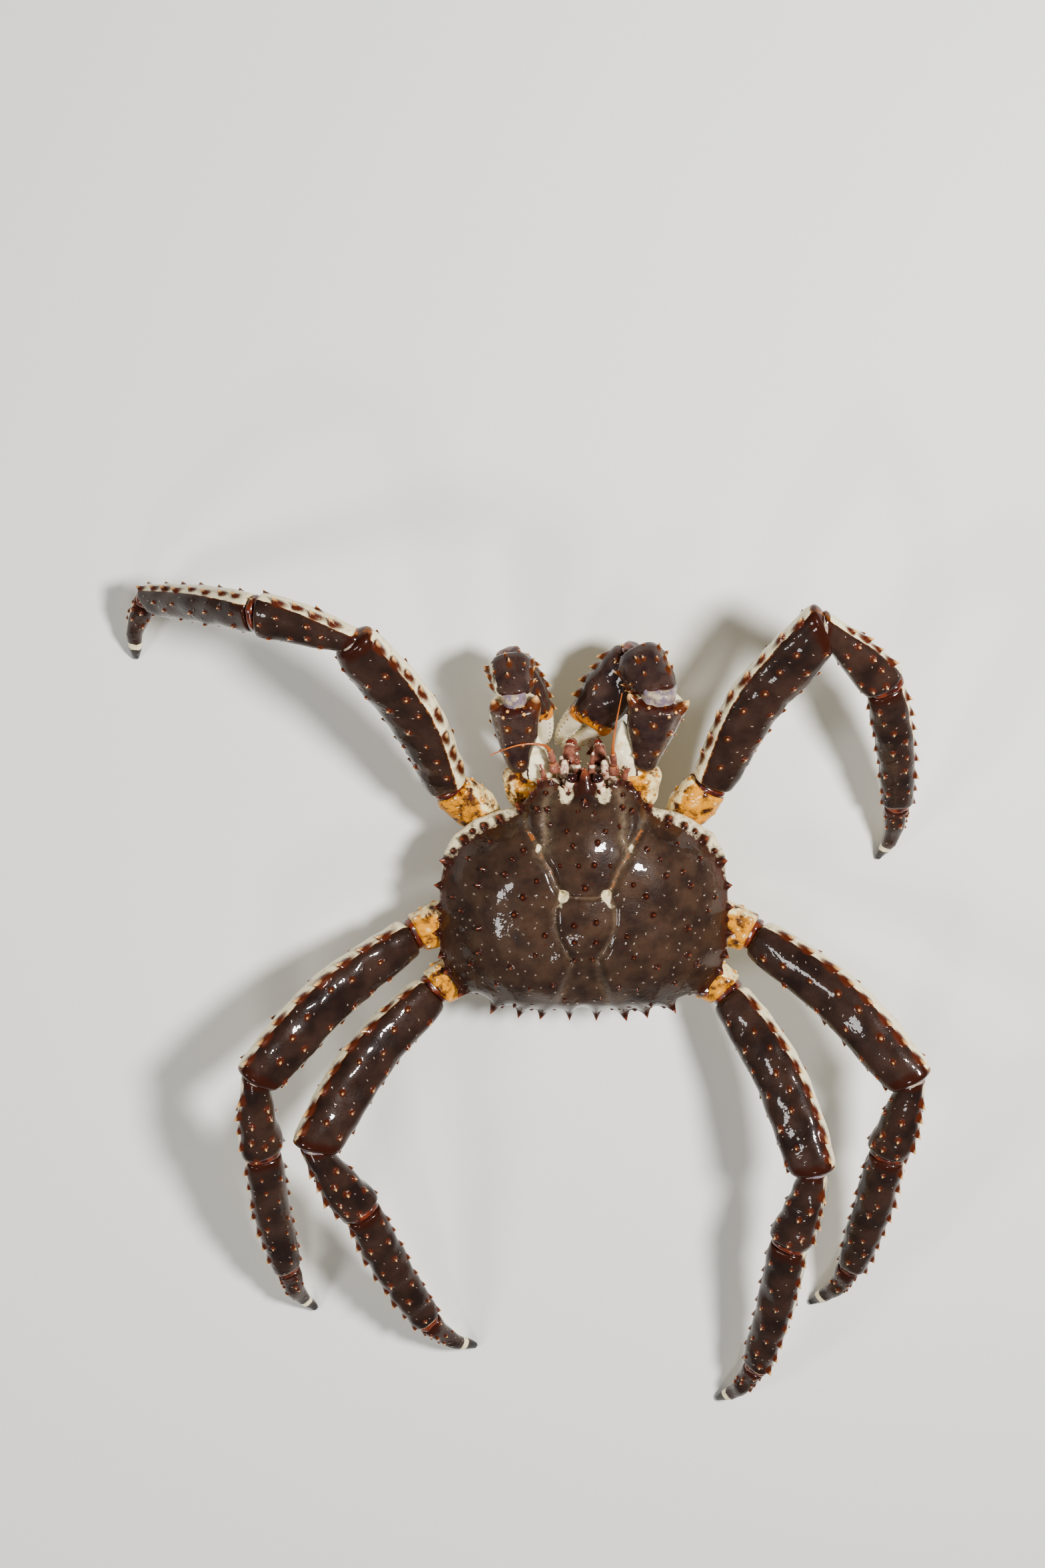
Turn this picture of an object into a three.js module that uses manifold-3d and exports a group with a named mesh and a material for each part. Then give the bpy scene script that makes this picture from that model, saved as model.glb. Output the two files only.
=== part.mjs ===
// A red king crab standing on its six walking legs, its claws folded in front of its mouth.
// Millimetres, +Z up. The crab is worked out facing +Y with its right side at +X, and the whole
// group is turned at the end so that it faces -Y. Every shell plate is a closed solid of its own.

import * as THREE from "three";
import { mergeVertices } from "three/addons/utils/BufferGeometryUtils.js";
import Module from "manifold-3d";

const wasm = await Module();
wasm.setup();

// Driving dimensions of the body.
const MARGIN_LEVEL = 58; // height of the shell's spiny edge above the floor
const DOME_RISE = 38; // how far the back rises above that edge
const DOME_POWER = 2.5; // 2 rounds the back like a bowl, more makes it flatter on top
const BODY_MIDDLE = new THREE.Vector3(0, -6, 0);
const WALL_FOOT = 38; // height of the shell wall's lower edge
const WALL_TUCK = 16; // how far that lower edge lies inside the spiny edge
const BREAST_LEVEL = 23; // underside of the breast plate
const TAIL_LEVEL = 15; // underside of the folded tail
const JOINT_GAP = 0.35; // clear space between neighbouring plates
const FOOT_SINK = 1.6; // how much of each leg tip is cut away as a flat

// Right half of the shell's outline seen from above, from the beak to the middle of the back edge.
const HALF_OUTLINE = [
  [0, 76], [4.5, 72], [8, 69], [12, 68], [16, 72.5], [21, 75], [27.5, 74], [33, 66.5],
  [40, 56], [51, 48.5], [64, 42], [75, 34], [83, 24.5], [88, 13], [90, -2], [90.5, -20],
  [89.5, -40], [85, -56], [76, -68], [64, -73.5], [50, -77], [34, -79.5], [17, -80], [0, -79],
];

// Each leg: its root under the shell, the far end of its first length, then [length, heading, climb] of
// the next three, with headings in degrees anticlockwise from the crab's right and climbs above level.
// The last length's climb follows from its own length, because its tip stands on the floor.
const LEGS = {
  right_1: {
    root: [59, 43, 41], ischium: [78, 67, 52],
    merus: [140, 61, 24], carpus: [60, -45, -20], propodus: [106, -80, -31], dactyl: [58, -100],
  },
  left_1: {
    root: [-60, 43, 41], ischium: [-83, 65, 52],
    merus: [140, 117, 30], carpus: [60, 166, -12], propodus: [106, 186, -46], dactyl: [58, 255],
  },
  right_2: {
    root: [66, -16, 39], ischium: [106, -30, 50],
    merus: [134, -39, 24], carpus: [60, -101, -20], propodus: [112, -99, -26.5], dactyl: [58, -120],
  },
  left_2: {
    root: [-66, -16, 39], ischium: [-106, -30, 50],
    merus: [134, 218.5, 24], carpus: [60, -89, -20], propodus: [112, -84, -26.5], dactyl: [58, -70],
  },
  right_3: {
    root: [60, -46, 39], ischium: [91, -69, 48],
    merus: [124, -62.5, 24], carpus: [59, -103, -17.5], propodus: [118, -98.5, -23], dactyl: [58, -121],
  },
  left_3: {
    root: [-60, -46, 39], ischium: [-94, -67, 48],
    merus: [124, 230, 24], carpus: [59, -61, -18.5], propodus: [114, -67.5, -23.5], dactyl: [58, -47],
  },
};

// Each claw: its joints from the body to the finger tips, and how stout it is. The right one crushes.
const CLAWS = {
  right: {
    root: [29, 50, 38], ischium: [34, 78, 49], knee: [44, 131, 80], wrist: [31, 151, 54],
    knuckle: [4, 104, 33], tips: [-15, 82, 12], girth: 1.3,
  },
  left: {
    root: [-32, 50, 38], ischium: [-40, 77, 49], knee: [-43, 128, 77], wrist: [-46, 149, 56],
    knuckle: [-32, 106, 33], tips: [-27, 79, 13], girth: 1.18,
  },
};

const UP = new THREE.Vector3(0, 0, 1);
const DOME_TOP = MARGIN_LEVEL + DOME_RISE;
const { degToRad, radToDeg, lerp, smoothstep } = THREE.MathUtils;
const vector = (p) => new THREE.Vector3(...p);

// Solids

function solidOf(geometry) {
  const bare = geometry.clone();
  bare.deleteAttribute("normal");
  bare.deleteAttribute("uv");
  const merged = mergeVertices(bare, 1e-4);
  return new wasm.Manifold(new wasm.Mesh({
    numProp: 3,
    vertProperties: merged.attributes.position.array,
    triVerts: new Uint32Array(merged.index.array),
  }));
}

function geometryOf(solid) {
  const mesh = solid.getMesh();
  return new THREE.BufferGeometry()
    .setAttribute("position", new THREE.BufferAttribute(mesh.vertProperties, 3))
    .setIndex(new THREE.BufferAttribute(mesh.triVerts, 1));
}

// The frame of a lofted plate at a share t of its length: its middle, its direction, the direction
// across its broad side, and the direction its face looks in.
function frameAt(plate, t) {
  const along = plate.curve.getTangent(Math.min(t, 1));
  const face = plate.face.clone().addScaledVector(along, -plate.face.dot(along)).normalize();
  return { middle: plate.curve.getPoint(t), along, face, across: along.clone().cross(face) };
}

function sectionAt(plate, t) {
  const next = plate.stations.findIndex((s) => s[0] >= t);
  const [a, b] = [plate.stations[Math.max(next - 1, 0)], plate.stations[next]];
  const share = b[0] > a[0] ? (t - a[0]) / (b[0] - a[0]) : 0;
  return [a[1] + (b[1] - a[1]) * share, a[2] + (b[2] - a[2]) * share];
}

// A plate as a closed solid: a cylinder whose rings are laid along the curve, one at each station
// [share of length, half width, half thickness]. "Grown" makes it fatter and longer all round.
function loft(plate, grown = 0) {
  const geometry = new THREE.CylinderGeometry(1, 1, 1, plate.sides ?? 8, plate.stations.length - 1);
  const place = geometry.attributes.position;
  for (let i = 0; i < place.count; i++) {
    const ring = Math.round((place.getY(i) + 0.5) * (plate.stations.length - 1));
    const [t, width, thickness] = plate.stations[ring];
    const { middle, along, face, across } = frameAt(plate, t);
    const end = ring === 0 ? -grown : ring === plate.stations.length - 1 ? grown : 0;
    middle.addScaledVector(across, place.getX(i) * (width + grown));
    middle.addScaledVector(face, place.getZ(i) * (thickness + grown));
    middle.addScaledVector(along, end);
    place.setXYZ(i, middle.x, middle.y, middle.z);
  }
  return solidOf(geometry);
}

// A spine: a faceted cone with its foot sunk into the plate below it.
function cone(foot, direction, radius, height, sides) {
  const sunk = Math.min(height, radius) * 0.6;
  const turn = new THREE.Quaternion().setFromUnitVectors(new THREE.Vector3(0, 1, 0), direction);
  const geometry = new THREE.ConeGeometry(radius, height + sunk, sides)
    .translate(0, (height + sunk) / 2 - sunk, 0)
    .applyQuaternion(turn)
    .translate(foot.x, foot.y, foot.z);
  return solidOf(geometry);
}

const SPINE_SEAT = 0.96; // where a spine's foot lies, as a share of the way out to the plate's surface
const SPINE_LEAN = 0.55; // how far a spine leans along its plate for each mm it stands out
const SPINE_GIRTH = 0.45; // radius of a spine's foot for each millimetre of its height

// A row of spines on a plate, at one angle round it: 0 is its leading edge, 90 its face, 180 its
// trailing edge. They lean towards the plate's far end.
function spineRow(plate, { angle, from, to, count, height }) {
  return Array.from({ length: count }, (_, i) => {
    const t = from + ((to - from) * (i + 0.5)) / count;
    const { middle, along, face, across } = frameAt(plate, t);
    const [width, thickness] = sectionAt(plate, t);
    const turn = degToRad(angle);
    const sideways = plate.leading * Math.cos(turn);
    const upwards = Math.sin(turn);
    const out = across.clone().multiplyScalar(sideways).addScaledVector(face, upwards);
    middle.addScaledVector(across, sideways * width * SPINE_SEAT);
    middle.addScaledVector(face, upwards * thickness * SPINE_SEAT);
    const tilt = out.addScaledVector(along, SPINE_LEAN).normalize();
    return cone(middle, tilt, height * SPINE_GIRTH, height, 3);
  });
}

const joined = (first, others) => others.reduce((sum, next) => sum.add(next), first);
const cutBy = (first, others) => others.reduce((rest, next) => rest.subtract(next), first);

// Two plates are parted at their joint by a plane that halves the bend, half the gap on either side.
function mitre(near, far, joint) {
  const across = near.plate.curve.getTangent(1).add(far.plate.curve.getTangent(0)).normalize();
  const level = across.dot(joint);
  near.solid = near.solid.trimByPlane(across.clone().negate().toArray(), JOINT_GAP / 2 - level);
  far.solid = far.solid.trimByPlane(across.toArray(), level + JOINT_GAP / 2);
}

// The largest body of a solid, without the chips that a cut can leave beside it.
const larger = (best, next) => (next.volume() > best.volume() ? next : best);
const largest = (solid) => solid.decompose().reduce(larger);

// Materials

const paint = (color, roughness) => new THREE.MeshStandardMaterial({ color, roughness, metalness: 0 });
const MATERIALS = {
  shell_brown: paint(0x4a372f, 0.3),
  shell_cream: paint(0xd8b878, 0.35),
  feeler_orange: paint(0xb8683c, 0.4),
  eye_maroon: paint(0x4a1814, 0.1),
};

// The length next to the body is cream, the others are brown.
const materialOf = (part) => (part === "ischium" ? "shell_cream" : "shell_brown");

const crab = new THREE.Group();

// A named mesh for one plate, with its own material, placed at its joint.
function addPlate(group, name, solid, material, joint = new THREE.Vector3()) {
  const geometry = geometryOf(largest(solid));
  geometry.translate(-joint.x, -joint.y, -joint.z);
  geometry.computeVertexNormals();
  const mesh = new THREE.Mesh(geometry, MATERIALS[material].clone());
  mesh.name = name;
  mesh.position.copy(joint);
  group.add(mesh);
}

// The shell over the back

// All round, anticlockwise from above.
const OUTLINE = [
  ...HALF_OUTLINE.slice(1, -1).map(([x, y]) => [-x, y]),
  ...HALF_OUTLINE.slice().reverse(),
];

// The edge climbs towards the beak, between two places along the crab.
const BEAK_RISE = 13;
const BEAK_SLOPE = [28, 74];
const marginHeight = (y) => MARGIN_LEVEL + BEAK_RISE * smoothstep(y, ...BEAK_SLOPE);

// How far the wall stands out beyond the spiny edge: it swells beside the gills, towards the front.
const WALL_SWELL = 7;
const SWELL_GROWS = [2, 36];
const SWELL_FADES = [44, 60];
const wallSwell = (y) => WALL_SWELL * smoothstep(y, ...SWELL_GROWS) * (1 - smoothstep(y, ...SWELL_FADES));

// The rows of the shell from the top of the back: shares of the way out to the edge, then shares of
// the way down the wall, then the middle of its floor.
const DOME_ROWS = [0, 0.35, 0.62, 0.84, 1];
const WALL_ROWS = [0.35, 0.75, 1];

function shellPoint(row, [x, y], grown) {
  const edge = new THREE.Vector3(x, y, marginHeight(y));
  const outward = edge.clone().sub(BODY_MIDDLE).setZ(0).normalize();
  edge.addScaledVector(outward, grown);
  if (row < DOME_ROWS.length) {
    const share = DOME_ROWS[row];
    const height = lerp(DOME_TOP, edge.z, share ** DOME_POWER);
    return BODY_MIDDLE.clone().lerp(edge, share).setZ(height + grown);
  }
  const wallRow = row - DOME_ROWS.length;
  if (wallRow === WALL_ROWS.length) return BODY_MIDDLE.clone().setZ(WALL_FOOT - grown);
  const drop = WALL_ROWS[wallRow];
  const swell = wallSwell(y) * Math.sin(Math.PI * Math.min(drop + 0.15, 1));
  const foot = drop === 1 ? grown : 0;
  edge.addScaledVector(outward, swell - WALL_TUCK * drop ** 2);
  return edge.setZ(lerp(edge.z, WALL_FOOT, drop) - foot);
}

function shell(grown = 0) {
  const rows = DOME_ROWS.length + WALL_ROWS.length;
  const geometry = new THREE.SphereGeometry(1, OUTLINE.length, rows);
  const place = geometry.attributes.position;
  const perRow = OUTLINE.length + 1;
  for (let i = 0; i < place.count; i++) {
    const p = shellPoint(Math.floor(i / perRow), OUTLINE[(i % perRow) % OUTLINE.length], grown);
    place.setXYZ(i, p.x, p.y, p.z);
  }
  return solidOf(geometry);
}

// Spines round the edge, pointing out and a little up, at [x, y, height] of the right half.
const EDGE_SPINES = [
  [27, 73, 5], [39, 58, 5], [52, 47, 5], [75, 33, 6], [88.5, 13, 7], [90.5, -10, 4], [90.5, -30, 4],
  [88, -48, 4], [77, -66, 6], [64, -73, 5], [51, -76.5, 6], [38, -78.5, 5], [25, -79.5, 6], [8, -79.5, 6],
];
// The larger spines on the back, at [x, y, height] of the right half.
const BACK_SPINES = [
  [8, 25, 5], [4.5, 11, 5], [23, 34, 5], [8, -22, 6], [7, -38, 5], [32, -4, 5], [42, -24, 6],
  [58, 8, 5], [66, -12, 5], [64, -34, 5], [52, -48, 5], [30, -42, 5], [18, -56, 5],
];

const EDGE_SPINE_RADIUS = 3;
const EDGE_SPINE_LIFT = 0.25; // how far an edge spine rises for each mm it stands out
const SPINE_ROOT = 1.5; // how far inside the edge its spines begin
const SPINE_SINK = 0.5; // how far a back spine's foot lies below the skin
const BACK_SPINE_RADIUS = 2.6;
const BACK_SPINE_SPLAY = 0.006; // outward lean of the back's spines for each mm from its middle
const BEAK = { foot: [0, 68, 71], lean: [0, 1, 0.25], radius: 5.5, height: 17 };

function shellSpines(grown = 0) {
  const both = (list) => list.flatMap(([x, y, h]) => [[x, y, h], [-x, y, h]]);
  const edge = both(EDGE_SPINES).map(([x, y, height]) => {
    const outward = new THREE.Vector3(x, y, 0).sub(BODY_MIDDLE).normalize();
    const foot = new THREE.Vector3(x, y, marginHeight(y) - 1).addScaledVector(outward, -SPINE_ROOT);
    const radius = EDGE_SPINE_RADIUS + grown;
    const length = height + SPINE_ROOT + 2 * grown;
    return cone(foot, outward.setZ(EDGE_SPINE_LIFT).normalize(), radius, length, 4);
  });
  const back = both(BACK_SPINES).map(([x, y, height]) => {
    const foot = new THREE.Vector3(x, y, surfaceHeight(x, y));
    const outward = foot.clone().sub(BODY_MIDDLE).setZ(0).multiplyScalar(BACK_SPINE_SPLAY);
    return cone(foot, outward.setZ(1).normalize(), BACK_SPINE_RADIUS + grown, height, 4);
  });
  const beak = cone(vector(BEAK.foot), vector(BEAK.lean).normalize(), BEAK.radius + grown, BEAK.height, 6);
  return [...edge, ...back, beak];
}

// Height of the back over a point, found along the line from the middle out to the edge.
function surfaceHeight(x, y) {
  const way = new THREE.Vector2(x, y).sub(BODY_MIDDLE);
  const angle = way.angle();
  const reach = OUTLINE.reduce((best, [ex, ey]) => {
    const edge = new THREE.Vector2(ex, ey).sub(BODY_MIDDLE);
    const miss = Math.abs(edge.angle() - angle);
    return miss < best.miss ? { miss, length: edge.length(), y: ey } : best;
  }, { miss: Infinity });
  const share = Math.min(way.length() / reach.length, 1);
  return lerp(DOME_TOP, marginHeight(reach.y), share ** DOME_POWER) - SPINE_SINK;
}

const shellSolid = joined(shell(), shellSpines());
const body = new THREE.Group();
crab.add(body);
addPlate(body, "carapace", shellSolid, "shell_brown");

// The underside

// The breast plate is a flat oval block that narrows towards the mouth and towards its underside.
const BREAST = { halfWidth: 60, halfLength: 56, middle: 2, foot: 0.86, front: 0.85 };

function breast(grown = 0) {
  const height = WALL_FOOT - 2 * JOINT_GAP - BREAST_LEVEL;
  const geometry = new THREE.CylinderGeometry(1, BREAST.foot, 1, 20).rotateX(Math.PI / 2);
  const place = geometry.attributes.position;
  for (let i = 0; i < place.count; i++) {
    const [x, y, z] = [place.getX(i), place.getY(i), place.getZ(i)];
    const halfWidth = BREAST.halfWidth * (y > 0 ? BREAST.front : 1) + grown;
    const level = BREAST_LEVEL + (z + 0.5) * height + Math.sign(z) * grown;
    place.setXYZ(i, x * halfWidth, y * (BREAST.halfLength + grown) + BREAST.middle, level);
  }
  return solidOf(geometry);
}

addPlate(body, "breast_plate", breast(), "shell_cream");

// The tail leaves the shell at the back, turns under and lies folded along the breast plate.
function tail() {
  const curve = new THREE.CatmullRomCurve3([
    new THREE.Vector3(0, -58, WALL_FOOT - 6),
    new THREE.Vector3(0, -64, WALL_FOOT - 13),
    new THREE.Vector3(0, -56, TAIL_LEVEL + 4),
    new THREE.Vector3(0, -30, TAIL_LEVEL + 3.5),
    new THREE.Vector3(0, 0, TAIL_LEVEL + 3.5),
    new THREE.Vector3(0, 30, TAIL_LEVEL + 4),
  ]);
  const stations = [
    [0, 34, 3.4], [0.1, 42, 4], [0.25, 48, 4], [0.42, 48, 4],
    [0.6, 42, 4], [0.76, 31, 4], [0.9, 18, 3.6], [1, 8, 2.6],
  ];
  return loft({ curve, stations, face: new THREE.Vector3(0, -0.35, -1), sides: 14 });
}

addPlate(body, "tail", cutBy(tail(), [shell(JOINT_GAP), breast(JOINT_GAP)]), "shell_cream");

// Legs

// One straight or bent length between two joints. Its face is the broad side that looks up.
function plateBetween(from, to, face, stations, leading, bow = 0) {
  const along = to.clone().sub(from);
  const across = along.clone().cross(face).normalize();
  const middle = from.clone().lerp(to, 0.5).addScaledVector(across, bow);
  return { curve: new THREE.QuadraticBezierCurve3(from, middle, to), face, stations, leading };
}

// Each length's stations, [share of length, half width, half thickness], as loft takes them.
const STATIONS = {
  ischium: [[0, 9, 8], [0.3, 14, 11], [0.7, 13.5, 10.5], [1.03, 11.5, 9]],
  merus: [[0, 10, 8], [0.06, 13, 10], [0.5, 16, 12], [0.93, 15.5, 12], [1.03, 13, 10]],
  carpus: [[0, 11, 8.5], [0.2, 12.5, 10], [0.85, 14, 11], [1.05, 11.5, 9.5]],
  propodus: [[0, 10, 8], [0.1, 12.5, 9.5], [0.35, 13, 9.5], [0.9, 10.3, 8], [1.03, 8.5, 7]],
  dactyl: [[0, 7, 5.6], [0.12, 7.5, 6], [0.5, 5.6, 4.6], [1, 1.7, 1.7]],
};

// How far each length bows towards the leg's leading edge.
const BOWS = { merus: 9, carpus: 3, propodus: 4, dactyl: 7 };

// Each length's rows of spines, as spineRow takes them.
const SPINES = {
  merus: [
    { angle: 20, from: 0.1, to: 0.98, count: 6, height: 5.5 },
    { angle: 80, from: 0.15, to: 0.9, count: 3, height: 4 },
    { angle: 180, from: 0.2, to: 0.9, count: 3, height: 4 },
  ],
  carpus: [
    { angle: 20, from: 0.25, to: 0.95, count: 3, height: 5 },
    { angle: 85, from: 0.25, to: 0.9, count: 1, height: 4 },
  ],
  propodus: [
    { angle: 15, from: 0.12, to: 0.95, count: 5, height: 5 },
    { angle: 90, from: 0.15, to: 0.9, count: 2, height: 3.5 },
    { angle: 175, from: 0.12, to: 0.9, count: 4, height: 4 },
  ],
  dactyl: [{ angle: 30, from: 0.1, to: 0.4, count: 1, height: 3 }],
};

// A step of this length in a direction given by its turn from the crab's right and its climb.
function heading(length, turn, climb) {
  return new THREE.Vector3(length, 0, 0)
    .applyAxisAngle(new THREE.Vector3(0, 1, 0), -degToRad(climb))
    .applyAxisAngle(UP, degToRad(turn));
}

// The joints of a leg from its root to its tip, which stands on the floor.
function legJoints(leg) {
  const joints = [vector(leg.root), vector(leg.ischium)];
  for (const part of ["merus", "carpus", "propodus"]) {
    joints.push(joints[joints.length - 1].clone().add(heading(...leg[part])));
  }
  const ankle = joints[joints.length - 1];
  const [length, turn] = leg.dactyl;
  const climb = -radToDeg(Math.asin((ankle.z + FOOT_SINK) / length));
  joints.push(ankle.clone().add(heading(length, turn, climb)));
  return joints;
}

// Everything below the floor, and everything the first length of a leg or claw is cut by.
const floor = solidOf(new THREE.BoxGeometry(2000, 2000, 100).translate(0, 0, -50));
const bodyCut = [shell(JOINT_GAP), breast(JOINT_GAP), ...shellSpines(JOINT_GAP)];

// A chain of plates along a row of joints, each with its spines, parted where they meet.
function chainOf(names, joints, face, tables, leading, bows) {
  const chain = names.map((name, i) => {
    const bow = leading * (bows[name] ?? 0);
    const plate = plateBetween(joints[i], joints[i + 1], face, tables.stations[name], leading, bow);
    const spines = (tables.spines[name] ?? []).flatMap((row) => spineRow(plate, row));
    return { name, plate, joint: joints[i], solid: joined(loft(plate), spines) };
  });
  for (let i = 1; i < chain.length; i++) mitre(chain[i - 1], chain[i], joints[i]);
  chain[0].solid = cutBy(chain[0].solid, bodyCut);
  return chain;
}

// A leg's face looks between straight up, at 1, and square to the plane the leg bends in, at 0.
const FACE_TURN = 0.45;

function addLeg(name, leg) {
  const group = new THREE.Group();
  crab.add(group);
  const joints = legJoints(leg);
  const leading = leg.root[0] > 0 ? -1 : 1;
  const [, hip, knee, wrist] = joints;
  const bend = wrist.clone().sub(knee);
  const square = knee.clone().sub(hip).cross(bend).normalize();
  if (square.z < 0) square.negate();
  const face = square.lerp(UP, FACE_TURN).normalize();
  const tables = { stations: STATIONS, spines: SPINES };
  const chain = chainOf(Object.keys(STATIONS), joints, face, tables, leading, BOWS);
  const last = chain.at(-1);
  last.solid = last.solid.subtract(floor);
  for (const { name: part, solid, joint } of chain) {
    addPlate(group, `leg_${name}_${part}`, solid, materialOf(part), joint);
  }
}

for (const [name, leg] of Object.entries(LEGS)) addLeg(name, leg);

// Claws

const CLAW_STATIONS = {
  ischium: [[0, 8, 8], [0.4, 11, 10], [1, 8.5, 8.5]],
  merus: [[0, 7, 7], [0.08, 9.5, 8], [0.5, 12, 9], [0.92, 13, 10], [1.03, 9.5, 8]],
  carpus: [[0, 8, 7], [0.3, 11.5, 10], [0.8, 12.5, 10.5], [1.05, 8.5, 7.5]],
  palm: [[0, 8, 6.5], [0.15, 12, 9.5], [0.6, 13.5, 10.5], [1, 11, 8.5]],
  finger: [[0, 5, 5.5], [0.2, 5.5, 5.5], [0.6, 4, 4.2], [1, 1.3, 1.5]],
};

const FINGER_SPREAD = 6.5; // from the middle of the palm's end to either finger's root
const FINGER_BOW = 2.5;
const TIP_SPREAD = 1.7;

const CLAW_SPINES = {
  merus: [
    { angle: 75, from: 0.3, to: 0.95, count: 2, height: 3.5 },
    { angle: 110, from: 0.2, to: 0.9, count: 2, height: 3.5 },
    { angle: 0, from: 0.75, to: 1, count: 1, height: 5 },
  ],
  carpus: [
    { angle: 30, from: 0.2, to: 1, count: 2, height: 5 },
    { angle: 90, from: 0.2, to: 1, count: 2, height: 4 },
    { angle: 150, from: 0.3, to: 1, count: 1, height: 4 },
  ],
  palm: [
    { angle: 20, from: 0.1, to: 1, count: 4, height: 4.5 },
    { angle: 70, from: 0.3, to: 0.9, count: 2, height: 3.5 },
  ],
};

function addClaw(side, claw) {
  const group = new THREE.Group();
  crab.add(group);
  const leading = side === "right" ? -1 : 1;
  const scaled = ([t, width, thickness]) => [t, width * claw.girth, thickness * claw.girth];
  const stations = {};
  for (const [name, list] of Object.entries(CLAW_STATIONS)) stations[name] = list.map(scaled);
  const joints = ["root", "ischium", "knee", "wrist", "knuckle"].map((name) => vector(claw[name]));
  const knuckle = joints.at(-1);
  const tables = { stations, spines: CLAW_SPINES };
  const chain = chainOf(["ischium", "merus", "carpus", "palm"], joints, UP, tables, leading, {});

  // The palm runs out into a fixed finger, and the other finger closes on it.
  const hand = chain.at(-1);
  const { across } = frameAt(hand.plate, 1);
  const fingerAt = (way) => {
    const from = knuckle.clone().addScaledVector(across, way * FINGER_SPREAD * claw.girth);
    const to = vector(claw.tips).addScaledVector(across, way * TIP_SPREAD);
    return plateBetween(from, to, UP, stations.finger, leading, way * FINGER_BOW);
  };
  const closing = fingerAt(leading);
  hand.solid = hand.solid.add(loft(fingerAt(-leading))).subtract(loft(closing, JOINT_GAP));
  const finger = { name: "finger", solid: loft(closing), joint: closing.curve.getPoint(0) };
  for (const { name, solid, joint } of [...chain, finger]) {
    addPlate(group, `claw_${side}_${name}`, solid, materialOf(name), joint);
  }
}

for (const [side, claw] of Object.entries(CLAWS)) addClaw(side, claw);

const mirrored = (points) => ({ right: points, left: points.map(([x, y, z]) => [-x, y, z]) });

// Head: eyes on short stalks beside the beak, feelers, and the outer jaws that close over the mouth.
// Each runs along a row of points. The feelers differ from side to side.
const HEAD_PARTS = {
  eye: {
    points: mirrored([[11, 66, 69], [9.5, 72, 72], [7, 80, 75]]),
    material: "eye_maroon",
    stations: [[0, 3.4, 3], [0.45, 2.8, 2.8], [0.62, 3.4, 3.4], [0.85, 3.4, 3.4], [1, 1.8, 1.8]],
  },
  feeler: {
    points: {
      right: [[18, 66, 60], [18, 82, 66], [17, 97, 74], [19, 115, 80], [22, 133, 84]],
      left: [[-18, 66, 60], [-19, 84, 66], [-24, 97, 73], [-40, 99, 78], [-58, 93, 80]],
    },
    material: "feeler_orange",
    stations: [[0, 3.6, 3], [0.2, 3.2, 3], [0.34, 2, 1.8], [0.42, 1, 0.9], [0.75, 0.6, 0.6], [1, 0.4, 0.4]],
  },
  jaw: {
    points: mirrored([[8, 58, 46], [9, 80, 54], [9, 90, 46], [6, 88, 34], [4, 80, 30]]),
    material: "feeler_orange",
    stations: [[0, 5, 3.5], [0.3, 5.2, 4], [0.55, 4, 3.4], [0.8, 3, 2.6], [1, 1.6, 1.4]],
  },
};

for (const [part, { points, material, stations }] of Object.entries(HEAD_PARTS)) {
  for (const [side, path] of Object.entries(points)) {
    const at = path.map(vector);
    const plate = { curve: new THREE.CatmullRomCurve3(at), stations, face: UP, sides: 6 };
    addPlate(body, `${part}_${side}`, cutBy(loft(plate), bodyCut), material, at[0]);
  }
}

// The crab is turned to face -Y, and its origin is set in the middle of the floor it covers.
crab.rotation.z = Math.PI;
const everything = new THREE.Box3().setFromObject(crab);
const middle = everything.getCenter(new THREE.Vector3());
crab.position.set(-middle.x, -middle.y, 0);

export default crab;
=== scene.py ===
# %% [markdown]
# # A red king crab, standing on a pale floor
# The crab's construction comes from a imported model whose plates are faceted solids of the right
# size. Each of those solids is replaced here by a fine mesh of the same plate, with its spines,
# grooves and soft joint skins, and each finish is worked out from the real one: wet chitin, cream
# shell, thin skin, horn. Every mesh is first made in the crab's own millimetres, facing +Y with its
# right side at +X, and is turned into the frame's metres when it becomes a Blender object.

# %% Load the frame
import math
from types import SimpleNamespace

import bpy
import numpy as np
from mathutils import Matrix, Vector


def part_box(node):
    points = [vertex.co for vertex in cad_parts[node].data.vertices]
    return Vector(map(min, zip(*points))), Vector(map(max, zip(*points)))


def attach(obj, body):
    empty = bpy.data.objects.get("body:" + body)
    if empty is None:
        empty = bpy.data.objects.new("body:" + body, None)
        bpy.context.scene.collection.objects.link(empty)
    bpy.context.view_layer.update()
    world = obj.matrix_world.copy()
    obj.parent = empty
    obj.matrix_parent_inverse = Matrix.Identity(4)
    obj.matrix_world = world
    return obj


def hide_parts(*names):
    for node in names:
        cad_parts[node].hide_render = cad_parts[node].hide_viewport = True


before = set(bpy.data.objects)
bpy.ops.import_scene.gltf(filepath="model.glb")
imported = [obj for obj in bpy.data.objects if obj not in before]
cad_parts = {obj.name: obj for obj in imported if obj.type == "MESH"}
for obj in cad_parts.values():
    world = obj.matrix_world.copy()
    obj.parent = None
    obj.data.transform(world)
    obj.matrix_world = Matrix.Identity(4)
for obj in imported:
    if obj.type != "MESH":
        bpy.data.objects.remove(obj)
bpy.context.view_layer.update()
rng = np.random.default_rng(11)

# %% [markdown]
# ## From the crab's millimetres to the frame's metres
# The crab was drawn facing +Y and then turned half a turn, so x and y change sign. Its own origin is
# found again from the breast plate, whose middle lies a little in front of it.

# %% Place the crab's own origin
MM = 1000  # millimetres in a metre
BREAST_MIDDLE = 2.0
HALF_TURN = np.array([-1, -1, 1])
breast_low, breast_high = (np.array(corner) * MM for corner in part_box("breast_plate"))
ORIGIN = (breast_low + breast_high) / 2 + [0, BREAST_MIDDLE, 0]
ORIGIN[2] = 0


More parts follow.
